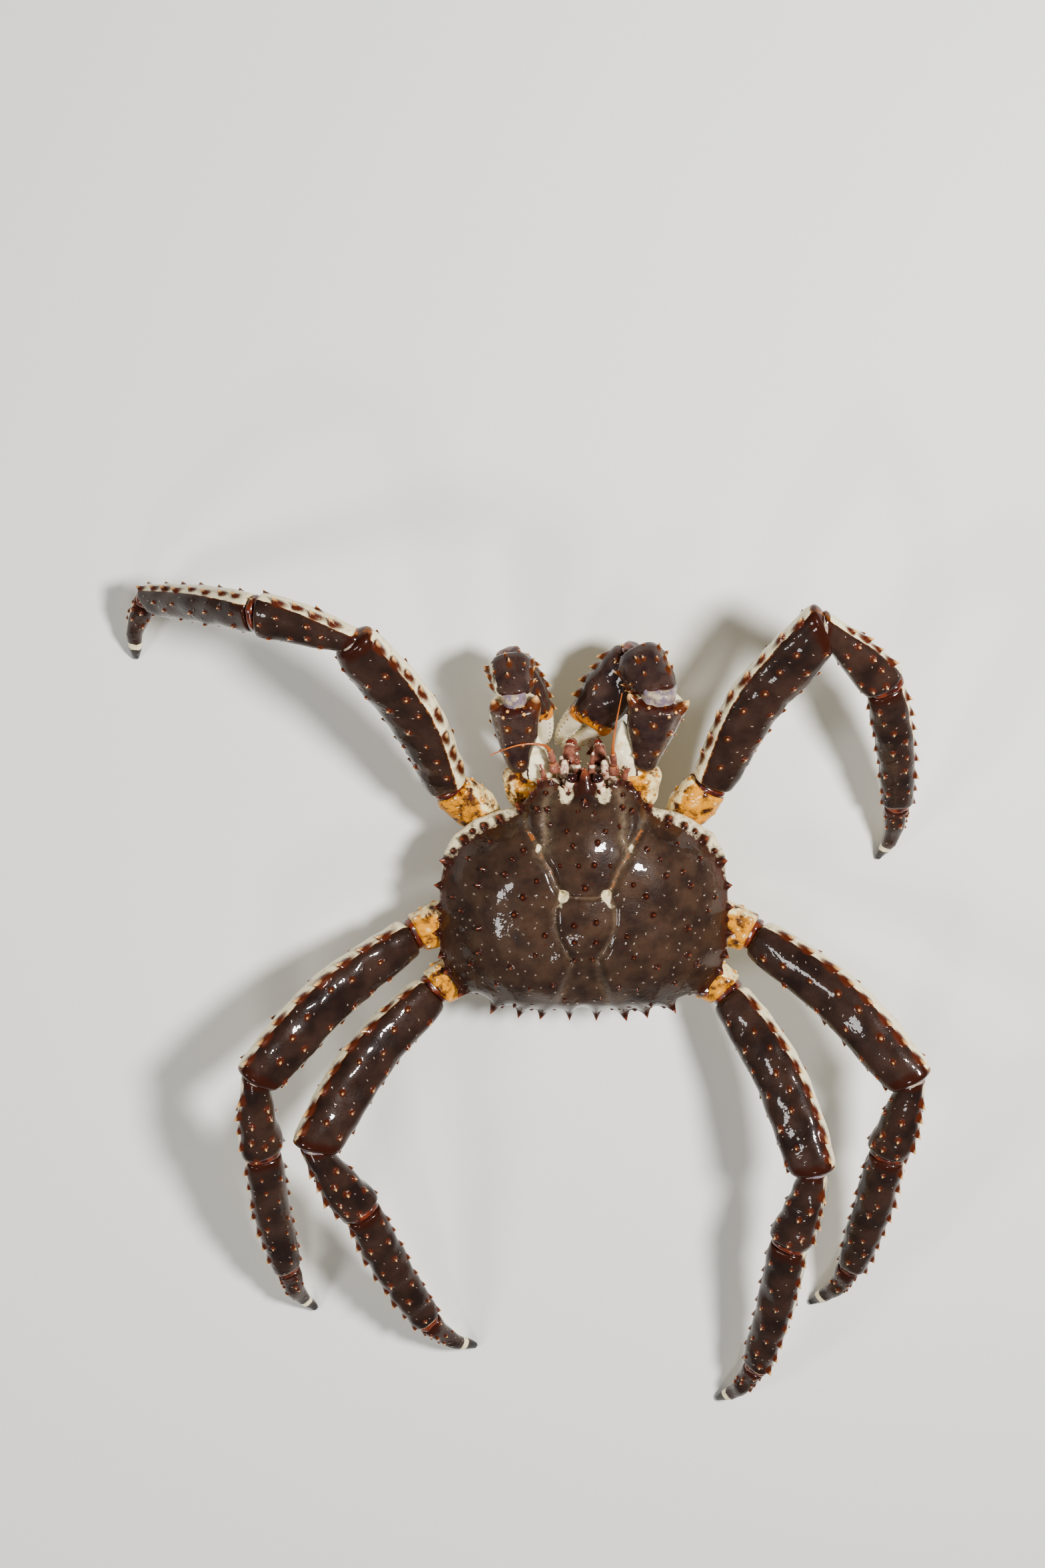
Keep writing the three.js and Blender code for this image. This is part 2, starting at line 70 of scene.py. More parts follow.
def metres(points):
    """Points in the crab's millimetres, in the frame's metres."""
    return (np.asarray(points) * HALF_TURN + ORIGIN) / MM


print("the crab's origin, mm:", ORIGIN.round(1))

# %% [markdown]
# ## Camera
# The picture looks at the crab's back from a little in front of it, from about two metres. One of its
# pixels is 0.413 mm at the shell, so the focal length follows from the picture's height, and the
# camera is aimed where the picture's middle lies.

# %% Camera
PICTURE = (1568, 2352)
SHELL_PIXEL = (876, 1339)
MM_PER_PIXEL = 0.413
DISTANCE = 2000.0
TILT = math.radians(15)
SENSOR = 36.0

shell_middle = np.array([0, 0, 60.0])
towards_camera = np.array([0, math.sin(TILT), math.cos(TILT)])
picture_up = np.array([0, math.cos(TILT), -math.sin(TILT)])
picture_right = np.array([1.0, 0, 0])
shift_right = (PICTURE[0] / 2 - SHELL_PIXEL[0]) * MM_PER_PIXEL
shift_up = (SHELL_PIXEL[1] - PICTURE[1] / 2) * MM_PER_PIXEL
aim = shell_middle + picture_right * shift_right + picture_up * shift_up
eye = aim + towards_camera * DISTANCE

camera = bpy.data.objects.new("camera", bpy.data.cameras.new("camera"))
bpy.context.scene.collection.objects.link(camera)
camera.data.sensor_width = SENSOR
camera.data.lens = SENSOR * DISTANCE / (PICTURE[1] * MM_PER_PIXEL)
axes = [way * HALF_TURN for way in (picture_right, picture_up, towards_camera)]
camera.matrix_world = Matrix.Translation(metres(eye)) @ Matrix(np.array(axes).T.tolist()).to_4x4()
bpy.context.scene.camera = camera
print("focal length", round(camera.data.lens, 1), "mm")

# %% [markdown]
# ## Materials: a few helpers
# A finish is a small network of nodes. One function feeds a node: it sets what is a number and links
# what is a socket. Another adds a node and feeds it. Colours are written as sRGB hex values, as a paint
# chart gives them, and turned to the linear values that Blender mixes.


# %% Colour and node helpers
def colour(code):
    """An sRGB hex value as linear red, green, blue and alpha."""
    parts = [int(code[i:i + 2], 16) / 255 for i in (1, 3, 5)]
    return [p / 12.92 if p <= 0.04045 else ((p + 0.055) / 1.055) ** 2.4 for p in parts] + [1.0]


def feed(tree, node, inputs):
    """Sets each input of a node, or links it where the value is another node's socket."""
    for name, value in inputs.items():
        if isinstance(value, bpy.types.NodeSocket):
            tree.links.new(value, node.inputs[name])
        else:
            node.inputs[name].default_value = value


def add(tree, kind, inputs=None, **settings):
    """Adds a node with its settings and feeds its inputs."""
    made = tree.nodes.new("ShaderNode" + kind)
    for name, value in settings.items():
        setattr(made, name, value)
    feed(tree, made, inputs or {})
    return made


def new_finish(name):
    """A new material, with its node tree and its shader."""
    material = bpy.data.materials.new(name)
    material.use_nodes = True
    return material, material.node_tree, material.node_tree.nodes["Principled BSDF"]


print("shell brown is", [round(v, 3) for v in colour("#3f3029")])

# %% [markdown]
# ## Floor and light
# A studio table: a large pale sheet, one soft light over the left shoulder, a weaker one from the
# right, a faint one from the rear, and a pale surround. Wet shell shows its form by the lights'
# reflections. Round panels 0.3 to 0.4 m across are soft enough for the shadows and small enough for
# the crisp highlights of a wet shell.

# %% Floor
FLOOR_SIDE = 8.0
bpy.ops.mesh.primitive_plane_add(size=FLOOR_SIDE, location=(0, 0, 0))
floor = bpy.context.object
floor.name = "floor"
paper, paper_tree, paper_shader = new_finish("matte_paper")
feed(paper_tree, paper_shader, {"Base Color": colour("#dfddd8"), "Roughness": 0.85})
floor.data.materials.append(paper)
print("a matte sheet,", FLOOR_SIDE, "m square")

# %% Light
SKY_STRENGTH = 0.24
PANELS = [
    # name, side in m, place in m, power in W
    ("key", 0.3, (-0.75, -0.55, 1.5), 42),
    ("fill", 0.4, (1.3, 0.2, 1.3), 10),
    ("rear", 0.3, (0.3, 1.1, 1.5), 5),
]
for name, side, place, power in PANELS:
    panel = bpy.data.lights.new(name, "AREA")
    panel.energy = power
    panel.shape = "DISK"
    panel.size = side
    lamp = bpy.data.objects.new(name, panel)
    lamp.location = place
    lamp.rotation_euler = Vector(place).to_track_quat("Z", "Y").to_euler()
    bpy.context.scene.collection.objects.link(lamp)

sky = bpy.data.worlds.new("pale_surround")
sky.use_nodes = True
background = sky.node_tree.nodes["Background"]
feed(sky.node_tree, background, {"Color": colour("#e8ebee"), "Strength": SKY_STRENGTH})
bpy.context.scene.world = sky
bpy.context.scene.view_settings.view_transform = "AgX"
bpy.context.scene.view_settings.look = "AgX - Medium High Contrast"
print(len(PANELS), "light panels")

# %% [markdown]
# ## Surfaces
# A shell plate is a closed skin. It is woven here from rings of points, with a pole at either end. A
# surface keeps its points, its faces and its marks: one value per point for each thing a finish needs
# to know, such as how pale the shell is there. Its spines are not stuck on. They are drawn up out of
# the skin, as they are on the animal, so their feet run into the plate without a seam.


# %% Surfaces woven from rings
def unit(vectors):
    """Vectors of the same way, one long."""
    return vectors / np.maximum(np.linalg.norm(vectors, axis=-1, keepdims=True), 1e-9)


def smooth(values, low, high):
    """0 below low and 1 above high, with an easy passage between them."""
    share = np.clip((np.asarray(values, float) - low) / (high - low), 0, 1)
    return share * share * (3 - 2 * share)


def round_angles(count):
    """So many angles, evenly spaced over a full turn."""
    return np.arange(count) * 2 * math.pi / count


def woven(rows, **marks):
    """A closed surface through rings of points. A mark has one value for each of those points."""
    rings, around = rows.shape[:2]
    index = np.arange(rings * around).reshape(rings, around)
    right = np.roll(index, -1, axis=1)
    first, last = np.full(around, index.size), np.full(around, index.size + 1)
    quads = [(index[:-1], index[1:], right[1:]), (index[:-1], right[1:], right[:-1])]
    caps = [(first, index[0], right[0]), (last, right[-1], index[-1])]
    faces = np.concatenate([np.stack(t, axis=-1).reshape(-1, 3) for t in quads + caps])
    turn = np.broadcast_to(round_angles(around), (rings, around))
    share = np.broadcast_to(np.linspace(0, 1, rings)[:, None], (rings, around))
    marks = {"turn_x": np.cos(turn), "turn_y": np.sin(turn), "row": share, **marks}
    points = np.concatenate([rows.reshape(-1, 3), rows[:1].mean(axis=1), rows[-1:].mean(axis=1)])
    flat = {name: np.concatenate([m.ravel(), m[:1].mean(axis=1), m[-1:].mean(axis=1)])
            for name, m in marks.items()}
    a, b, c = (points[faces[:, k]] for k in range(3))
    if (a * np.cross(b, c)).sum() < 0:
        faces = faces[:, ::-1]
    return SimpleNamespace(points=points, faces=faces, marks=flat)


def normals(surface):
    """The outward direction at every point."""
    a, b, c = (surface.points[surface.faces[:, k]] for k in range(3))
    flat = np.repeat(np.cross(b - a, c - a), 3, axis=0)
    corners = surface.faces.ravel()
    count = len(surface.points)
    return unit(np.stack([np.bincount(corners, flat[:, k], count) for k in range(3)], axis=1))


print("a smooth step half way:", float(smooth(0.5, 0, 1)))

# %% [markdown]
# ## Spines drawn out of a surface
# A spine two millimetres across needs a mesh of about half a millimetre, and the plate around it does
# not. So the edges near each spine's foot are halved until they are short enough, and then the points
# are lifted. A spine falls off steeply from its tip and its foot flares. On the legs it is stretched
# towards the body, which gives the edge its saw teeth.

# %% Finer where a spine grows
REFINE_ROUNDS = 4
REFINE_REACH = 1.3  # how far round a foot the edges are halved, in radii of the spine


def refine(surface, feet, radii, finest):
    """Halves the edges near the feet that are longer than a share of the spine's radius."""
    faces = surface.faces
    pairs = np.concatenate([faces[:, [0, 1]], faces[:, [1, 2]], faces[:, [2, 0]]])
    count = len(surface.points)
    keys, of_face = np.unique(pairs.min(axis=1) * count + pairs.max(axis=1), return_inverse=True)
    edges = np.stack([keys // count, keys % count], axis=1)
    ends = surface.points[edges]
    middles, lengths = ends.mean(axis=1), np.linalg.norm(ends[:, 0] - ends[:, 1], axis=1)
    split = np.zeros(len(edges), bool)
    order = np.argsort(middles[:, 1])
    sorted_y = middles[order, 1]
    for foot, radius in zip(feet, radii):
        band = 2 * REFINE_REACH * radius
        some = order[slice(*np.searchsorted(sorted_y, [foot[1] - band, foot[1] + band]))]
        near = ((middles[some] - foot) ** 2).sum(axis=1) < (REFINE_REACH * radius) ** 2
        split[some] |= near & (lengths[some] > finest * radius)
    fresh = np.full(len(edges), -1)
    fresh[split] = len(surface.points) + np.arange(split.sum())
    mids = fresh[of_face].reshape(3, -1).T
    cut = mids >= 0
    cuts = cut.sum(axis=1)
    turn = np.select([cuts == 1, cuts == 2], [cut.argmax(axis=1), (cut.argmin(axis=1) + 1) % 3], 0)
    turned = (np.arange(3) + turn[:, None]) % 3
    a, b, c = np.take_along_axis(faces, turned, axis=1).T
    ab, bc, ca = np.take_along_axis(mids, turned, axis=1).T
    patterns = {
        0: [(a, b, c)],
        1: [(a, ab, c), (ab, b, c)],
        2: [(ab, b, bc), (a, ab, bc), (a, bc, c)],
        3: [(a, ab, ca), (ab, b, bc), (ca, bc, c), (ab, bc, ca)],
    }
    surface.faces = np.concatenate([
        np.stack(corners, axis=1)[cuts == n] for n, group in patterns.items() for corners in group
    ])
    surface.points = np.concatenate([surface.points, middles[split]])
    for name, mark in surface.marks.items():
        surface.marks[name] = np.concatenate([mark, mark[edges[split]].mean(axis=1)])


print("each edge near a spine is halved up to", REFINE_ROUNDS, "times")


# %% Spines
def spine(foot, radius, height, lean=(0, 0, 0), stretch=1.0):
    """A spine to draw up. It leans, and its foot is stretched against the way it leans."""
    return SimpleNamespace(foot=np.array(foot, float), radius=radius, height=height,
                           lean=np.array(lean, float), stretch=stretch)


def raise_spines(surface, spines, mark="horn", flare=1.3, finest=0.3):
    """Draws spines up out of a surface. The mark is 1 at a tip, a half at the foot's rim, then fades."""
    nearest = [((surface.points - s.foot) ** 2).sum(axis=1).argmin() for s in spines]
    feet = surface.points[nearest]
    radii = [s.radius for s in spines]
    for _ in range(REFINE_ROUNDS):
        refine(surface, feet, radii, finest)
    out = normals(surface)
    lift = np.zeros_like(surface.points)
    best = np.zeros(len(lift))
    tone = surface.marks.get(mark, np.zeros(len(lift))).copy()
    order = np.argsort(surface.points[:, 1])
    sorted_y = surface.points[order, 1]
    for s, foot, top in zip(spines, feet, nearest):
        band = 2 * s.radius * s.stretch
        near = order[slice(*np.searchsorted(sorted_y, [foot[1] - band, foot[1] + band]))]
        near = near[((surface.points[near] - foot) ** 2).sum(axis=1) < band ** 2]
        near = near[out[near] @ out[top] > 0]
        way = surface.points[near] - foot
        lean = float(np.linalg.norm(s.lean))
        ahead = way @ (s.lean / lean) if lean else np.zeros(len(near))
        aside = np.sqrt(np.maximum((way ** 2).sum(axis=1) - ahead ** 2, 0))
        ahead = np.where(ahead < 0, ahead / s.stretch, ahead)
        distance = np.hypot(ahead, aside) / s.radius
        rise = s.height * np.clip(1 - distance, 0, 1) ** flare
        higher = rise > best[near]
        best[near[higher]] = rise[higher]
        lift[near[higher]] = rise[higher, None] * unit(out[top] + s.lean)
        tone[near] = np.maximum(tone[near], np.clip(1 - distance / 2, 0, 1))
    surface.points = surface.points + lift
    surface.marks[mark] = tone


print("half way up, a spine's skin is", round(1 - 0.5 ** (1 / 1.3), 2), "of its radius from the middle")

# %% Unevenness
WAVES = 7  # so many waves together make a surface uneven


def lumps(points, size, seed):
    """A smooth uneven field between about -1 and 1, whose lumps are of a given size in mm."""
    dice = np.random.default_rng(seed)
    ways = unit(dice.normal(size=(WAVES, 3))) * 2 * math.pi / (size * dice.uniform(1.2, 2.4, (WAVES, 1)))
    return np.sin(np.asarray(points) @ ways.T + dice.uniform(0, 6.3, WAVES)).sum(axis=-1) / WAVES ** 0.5


def roughen(surface, size, depth, seed):
    """Makes a surface a little uneven, as nothing that grew is ever quite smooth."""
    surface.points = surface.points + normals(surface) * (lumps(surface.points, size, seed) * depth)[:, None]


print("lumps 10 mm across, at three places:", lumps([[0, 0, 0], [5, 0, 0], [10, 0, 0]], 10, 1).round(2))

# %% [markdown]
# ## From a surface to a Blender object
# The marks become attributes, which the finishes read. Each object also gets a flat map of its skin
# for later painting: the rings of a plate are laid side by side, cut open along one column.

# %% The flat map
DISC_RADIUS, STRIP_WIDTH = 0.49, 0.98  # nearly all of the map, with a thin margin left free


def mesh_map(surface, round_map):
    """The place of every face corner on the flat map: a disc for the carapace, strips for the rest."""
    corners = surface.faces
    x, y, row = (surface.marks[name][corners] for name in ("turn_x", "turn_y", "row"))
    if round_map:
        return 0.5 + DISC_RADIUS * np.stack([row * x, row * y], axis=-1)
    turn = np.arctan2(y, x) / (2 * math.pi) % 1
    wrapped = (turn.max(axis=1) - turn.min(axis=1) > 0.5)[:, None]
    across = np.where(wrapped & (turn < 0.5), turn + 1, turn)
    strip = surface.marks["strip"][corners] if "strip" in surface.marks else 0 * row
    return np.stack([(across * STRIP_WIDTH + strip) / (strip.max() + 1), row], axis=-1)


print("the disc of the map is", 2 * DISC_RADIUS, "across")


# %% Blender objects
def show(name, surface, finish, node=None, round_map=False):
    """Makes a surface a Blender object of the crab, in place of a node of the frame."""
    mesh = bpy.data.meshes.new(name)
    faces = surface.faces
    mesh.vertices.add(len(surface.points))
    mesh.vertices.foreach_set("co", metres(surface.points).ravel())
    mesh.loops.add(faces.size)
    mesh.loops.foreach_set("vertex_index", faces.ravel())
    mesh.polygons.add(len(faces))
    mesh.polygons.foreach_set("loop_start", np.arange(len(faces)) * 3)
    mesh.update(calc_edges=True)
    mesh.validate()
    for mark, values in surface.marks.items():
        mesh.attributes.new(mark, "FLOAT", "POINT").data.foreach_set("value", values.astype(np.float32))
    flat_map = mesh.uv_layers.new(name="OFBake")
    flat_map.data.foreach_set("uv", mesh_map(surface, round_map).ravel().astype(np.float32))
    mesh.shade_smooth()
    mesh.materials.append(finish)
    piece = bpy.data.objects.new(name, mesh)
    bpy.context.scene.collection.objects.link(piece)
    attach(piece, "root")
    if node:
        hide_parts(node)


print("objects carry the marks as attributes, and a flat map")


# %% Several surfaces as one
def merged(surfaces):
    """Several surfaces as one. A mark that one of them lacks is 0 there."""
    for strip, surface in enumerate(surfaces):
        surface.marks["strip"] = np.full(len(surface.points), float(strip))
    names = sorted({name for s in surfaces for name in s.marks})
    offsets = np.cumsum([0] + [len(s.points) for s in surfaces[:-1]])
    marks = {n: np.concatenate([s.marks.get(n, np.zeros(len(s.points))) for s in surfaces]) for n in names}
    return SimpleNamespace(
        points=np.concatenate([s.points for s in surfaces]),
        faces=np.concatenate([s.faces + o for s, o in zip(surfaces, offsets)]),
        marks=marks,
    )


print("each surface keeps its own strip of the flat map")

# %% [markdown]
# ## Finishes
# A live king crab is wet. Its shell is chitin hardened with lime: a dark red-brown pigment lies under a
# thin clear outer skin, and where the pigment is missing the shell is cream. The spines are redder
# than the plates, and their tips are worn pale. So one builder makes every wet shell from a palette
# and from the marks: it mixes a mottled brown, reddens it near the spines, turns it cream where the
# mark "pale" says so with a ragged border, and lays a film of water over it as a clear coat.

# %% What a wet shell is painted from
WATER_IOR = 1.33
CHITIN_UNDER_WATER = 1.56 / WATER_IOR  # chitin's index against the water that covers it
FILM_MM = 0.2  # how deep the waves of the water film are
# The same black also lays the painted shade at the rear corners of the back.
BLACK_HORN_AND_PAINTED_SHADE = "#17110f"  # the worn horny tips of the legs
MARKS = ("pale", "ash", "amber", "red", "horn", "grain", "black")
TONES = ("dark", "light", "ash", "red", "amber", "cream", "blot", "spine", "tip", "dot")
RAMP = ("Value", "From Min", "From Max", "To Min", "To Max")
# Masks with a ragged border: where they begin, where they are full, and how far the border wanders.
BORDERS = {"red": (0.25, 0.85, 0.7), "amber": (0.3, 0.75, 1.0), "pale": (0.38, 0.62, 0.55),
           "horn": (0.22, 0.62, 0.35)}
print(len(MARKS), "marks and", len(TONES), "tones make a shell")


# %% Patterns of a shell
def shell_patterns(tree, mottle_mm, ragged_mm, roughness, patchy):
    """The marks of a shell, its noises, the ramps read from both, and the marks' ragged masks."""
    place = add(tree, "TexCoord").outputs["Object"]
    mark = {key: add(tree, "Attribute", attribute_name=key).outputs["Fac"] for key in MARKS}

    # Each noise has a size in mm, a number of finer layers and their strength: clouds of pigment, the
    # raggedness of every border, pits, blots of stain, pores, and the waves of the water film.
    sizes = {"clouds": (mottle_mm, 4, 0.5), "ragged": (ragged_mm, 5, 0.65), "pits": (1.6, 2, 0.5),
             "blots": (5, 3, 0.5), "pores": (0.9, 3, 0.5), "waves": (3, 1, 0.5)}
    noise = {key: add(tree, "TexNoise", {"Vector": place, "Scale": MM / size, "Detail": float(layers),
                                         "Roughness": strength}).outputs["Fac"]
             for key, (size, layers, strength) in sizes.items()}
    ranges = {
        "cloudy": (noise["clouds"], 0.36, 0.64, 0.0, 1.0),
        "thin": (noise["ragged"], 0.3, 0.65, 0.25, 1.0),
        "pitted": (noise["pits"], 0.6, 0.7, 0.0, 0.6),
        "blotted": (noise["blots"], 0.56, 0.68, 0.0, 0.6),
        "worn": (mark["horn"], 0.74, 0.92, 0.0, 1.0),
        "dotted": (mark["grain"], 0.62, 0.85, 0.0, 1.0),
        "dull": (noise["ragged"], 0.3, 0.7, roughness - 0.06, roughness + 0.1),
    }
    ramp = {key: add(tree, "MapRange", dict(zip(RAMP, values))).outputs["Result"]
            for key, values in ranges.items()}
    wander = add(tree, "Math", {0: noise["ragged"], 1: -0.5}, operation="ADD").outputs[0]
    mask = {}
    for key, (low, high, spread) in BORDERS.items():
        moved = add(tree, "Math", {0: wander, 1: spread * patchy, 2: mark[key]}, operation="MULTIPLY_ADD")
        mask[key] = add(tree, "MapRange", {"Value": moved.outputs[0], "From Min": low, "From Max": high},
                        interpolation_type="SMOOTHSTEP").outputs["Result"]
    return mark, noise, ramp, mask


print("a noise 14 mm wide has the scale", round(MM / 14, 1))


# %% Wet shell
def wet_shell(name, codes, mottle_mm=14, ragged_mm=3.5, roughness=0.32, bump_mm=0.18, patchy=1.0):
    """Wet shell from ten sRGB values, one for each of the tones. Its patterns have their sizes in mm."""
    material, tree, shader = new_finish(name)
    paint = dict(zip(TONES, map(colour, codes.split())))
    mark, noise, ramp, mask = shell_patterns(tree, mottle_mm, ragged_mm, roughness, patchy)

    # The layers from below: brown pigment with lighter clouds, the thin ash of the grooves, pits, the
    # reddish zone, amber where the pigment thins out, bare lime with its stains, the spines with their
    # worn tips, the grains, and black horn. On the back the lime also carries a painted highlight on each
    # gill region, and the black a painted shade at the rear corners.
    bloom = add(tree, "Math", {0: ramp["thin"], 1: mark["ash"]}, operation="MULTIPLY").outputs[0]
    lime = add(tree, "Mix", {0: ramp["blotted"], 6: paint["cream"], 7: paint["blot"]}, data_type="RGBA")
    layers = [
        (ramp["cloudy"], paint["light"]), (bloom, paint["ash"]), (ramp["pitted"], paint["red"]),
        (mask["red"], paint["red"]), (mask["amber"], paint["amber"]), (mask["pale"], lime.outputs[2]),
        (mask["horn"], paint["spine"]), (ramp["worn"], paint["tip"]), (ramp["dotted"], paint["dot"]),
        (mark["black"], colour(BLACK_HORN_AND_PAINTED_SHADE)),
    ]
    shade = paint["dark"]
    for amount, tone in layers:
        shade = add(tree, "Mix", {0: amount, 6: shade, 7: tone}, data_type="RGBA").outputs[2]

    # Creases and pores lie in the chitin, and the film of water over them has its own slow waves.
    relief = add(tree, "Math", {0: noise["ragged"], 1: 2.0, 2: noise["pores"]}, operation="MULTIPLY_ADD")
    reliefs = [("Normal", relief.outputs[0], bump_mm), ("Coat Normal", noise["waves"], FILM_MM)]
    for socket, height, depth_mm in reliefs:
        bump = add(tree, "Bump", {"Height": height, "Distance": depth_mm / MM, "Strength": 0.7})
        feed(tree, shader, {socket: bump.outputs["Normal"]})
    feed(tree, shader, {"Base Color": shade, "Roughness": ramp["dull"], "IOR": CHITIN_UNDER_WATER,
                        "Coat Weight": 0.85, "Coat Roughness": 0.035, "Coat IOR": WATER_IOR})
    return material


print("under water chitin has the index", round(CHITIN_UNDER_WATER, 3))

# %% [markdown]
# ## The palettes
# The back is nearly black brown, with dark red spines. The legs are purple brown, with red saw teeth
# whose tips are worn to orange and cream. The leg roots are bare lime stained with amber. The claws
# are like the legs, with paler corners, and their fingers are ivory with chalk-white teeth. The
# underside is cream lime with faint stains, and the mouth parts are thin horn, pinkish brown.

# %% Shell colours
# In every palette: dark, light, ash, red, amber, cream, blot, spine, tip and dot.
back_shell = wet_shell(
    "wet_brown_back_shell",
    "#32251f #49372b #8a7862 #472417 #9a5c30 #d9cba8 #6e5340 #381b13 #7d432b #8a7868",
    patchy=1.8)
leg_shell = wet_shell(
    "wet_leg_shell",
    "#281c18 #3f2d25 #3f2d25 #38190f #a86428 #e9dcb6 #a98a62 #532616 #deb078 #9c8778",
    mottle_mm=18)
root_shell = wet_shell(
    "amber_root_shell",
    "#3a241b #583628 #583628 #54230f #d08f35 #ead9a6 #d38f33 #c58a3a #efd9a8 #e8d9b4",
    mottle_mm=9, ragged_mm=7, patchy=2.2)
claw_shell = wet_shell(
    "wet_claw_shell",
    "#322423 #4b3932 #7a6e66 #3d170c #c07a2e #efe4c2 #cfae72 #5c2f18 #dcae74 #b5a08c",
    mottle_mm=12, patchy=1.8)
tooth_shell = wet_shell(
    "ivory_finger",
    "#34272b #493833 #493833 #8a3a14 #d98a3a #efe5c8 #dfc48c #e8dfc6 #f6f1e2 #5a2416",
    mottle_mm=12)
belly_shell = wet_shell(
    "cream_belly_shell",
    "#5a3a2c #7a5440 #7a5440 #a8583a #d8a05a #e6d9b8 #cfa27c #b97c58 #efe2c4 #e9dfc6",
    mottle_mm=16, ragged_mm=6, roughness=0.4)
mouth_shell = wet_shell(
    "pink_brown_mouth_shell",
    "#6a3f33 #9c6a58 #9c6a58 #6a2c20 #b87a52 #e6d2b8 #b98a74 #7e4a3a #ecd4b0 #e6cfae",
    mottle_mm=5, ragged_mm=2, bump_mm=0.06)
shells = (back_shell, leg_shell, root_shell, claw_shell, tooth_shell, belly_shell, mouth_shell)
print("wet shells:", [shell.name for shell in shells])

# %% [markdown]
# ## Soft skin, eyes and feelers
# Between two plates the skin is thin, folded and a little see-through, so light spreads inside it and
# it looks milky lilac. The eyes are the smoothest thing on the animal, like wet glass. The feelers are
# clear horn, orange against the light.


# %% Other finishes
def plain(name, codes, roughness, ior, patch_mm, coat, crease_mm=0.0, depth_mm=0.0):
    """A finish of two colours in soft patches, with light spreading inside it if it is skin."""
    material, tree, shader = new_finish(name)
    first, second = map(colour, codes.split())
    place = add(tree, "TexCoord").outputs["Object"]
    cloud = add(tree, "TexNoise", {"Vector": place, "Scale": MM / patch_mm, "Detail": 3.0}).outputs["Fac"]
    mask = add(tree, "MapRange", {"Value": cloud, "From Min": 0.42, "From Max": 0.6}).outputs["Result"]
    mixed = add(tree, "Mix", {0: mask, 6: first, 7: second}, data_type="RGBA").outputs[2]
    feed(tree, shader, {"Base Color": mixed, "Roughness": roughness, "IOR": ior, "Coat Weight": coat,
                        "Coat Roughness": 0.04})
    if depth_mm:
        feed(tree, shader, {"Subsurface Weight": 0.4, "Subsurface Radius": (1.0, 0.45, 0.35),
                            "Subsurface Scale": depth_mm / MM})
    if crease_mm:
        bump = add(tree, "Bump", {"Height": cloud, "Distance": crease_mm / MM, "Strength": 0.6})
        feed(tree, shader, {"Normal": bump.outputs["Normal"]})
    return material


joint_skin = plain("lilac_joint_skin", "#7f707c #ab9c84", 0.3, 1.4, 5, 0.6, crease_mm=0.5, depth_mm=2)
dark_skin = plain("dark_joint_skin", "#3a1510 #6e2f18", 0.3, 1.4, 6, 0.7, crease_mm=0.4)
eye_gloss = plain("maroon_eye", "#3a0f0c #1c0706", 0.12, 1.5, 3, 1.0)
feeler_horn = plain("orange_feeler_horn", "#b8662c #9a4f24", 0.35, 1.54, 9, 0.4)
print("other finishes:", [m.name for m in (joint_skin, dark_skin, eye_gloss, feeler_horn)])

# %% [markdown]
# ## The shell over the back
# The carapace is one plate: a low dome, broadest behind its middle, that folds down into walls beside
# the gills. Grooves divide the back into regions. The stomach bulges in front, the heart lies behind
# it, and the gills swell on either side. The back edge is scalloped between its teeth. The dome is
# worked out as a height over its plan, so that each region is one soft hill and each groove a line.

# %% Plan of the shell
MARGIN_LEVEL, DOME_RISE, BEAK_RISE = 58.0, 38.0, 13.0
WALL_FOOT, WALL_TUCK, WALL_SWELL = 38.0, 16.0, 7.0
MIDDLE = np.array([0.0, -6.0])
FINE_TURNS = 1440
HALF_PLAN = [
    (0, 76), (4.5, 73), (8, 70), (12, 68), (16, 72), (21, 75), (27.5, 74), (33, 66.5), (40, 56),
    (51, 48.5), (64, 42), (75, 34), (83, 24.5), (88, 13), (90, -2), (90.5, -20), (89.5, -40), (85, -56),
    (77, -67), (66, -74), (57, -78), (49, -79), (40, -80), (26, -81.5), (8, -81.5), (0, -81),
]
# Points of the right edge, with the depth of the scallop that follows each. Both sides are cut.
HALF_TEETH = [
    (27, 73, 0.8), (39, 57, 0.8), (51, 47, 0.8), (62, 42, 0.8), (74, 33.5, 0.8), (85, 20, 0.8), (90, 4, 0.8),
    (91, -10, 0.8), (91, -27, 0.8), (88, -40, 0.8), (85, -51, 1.5), (77, -67, 8), (57.5, -78, 5.5),
    (40, -80, 4.5), (26, -82, 6), (8, -81.6, 5.5), (-8, -81.6, 0),
]
print("the shell is", 2 * max(x for x, _ in HALF_PLAN), "mm wide before its teeth")


# %% The edge of the shell
def mirror(items):
    """Both sides from the right half: the same places with x turned round."""
    return list(items) + [(-item[0], *item[1:]) for item in items if abs(item[0]) > 0.1]


def bearing(points):
    """The direction of points from the shell's middle, in radians from 0 to a full turn."""
    way = np.asarray(points, float)[..., :2] - MIDDLE
    return np.arctan2(way[..., 1], way[..., 0]) % (2 * math.pi)


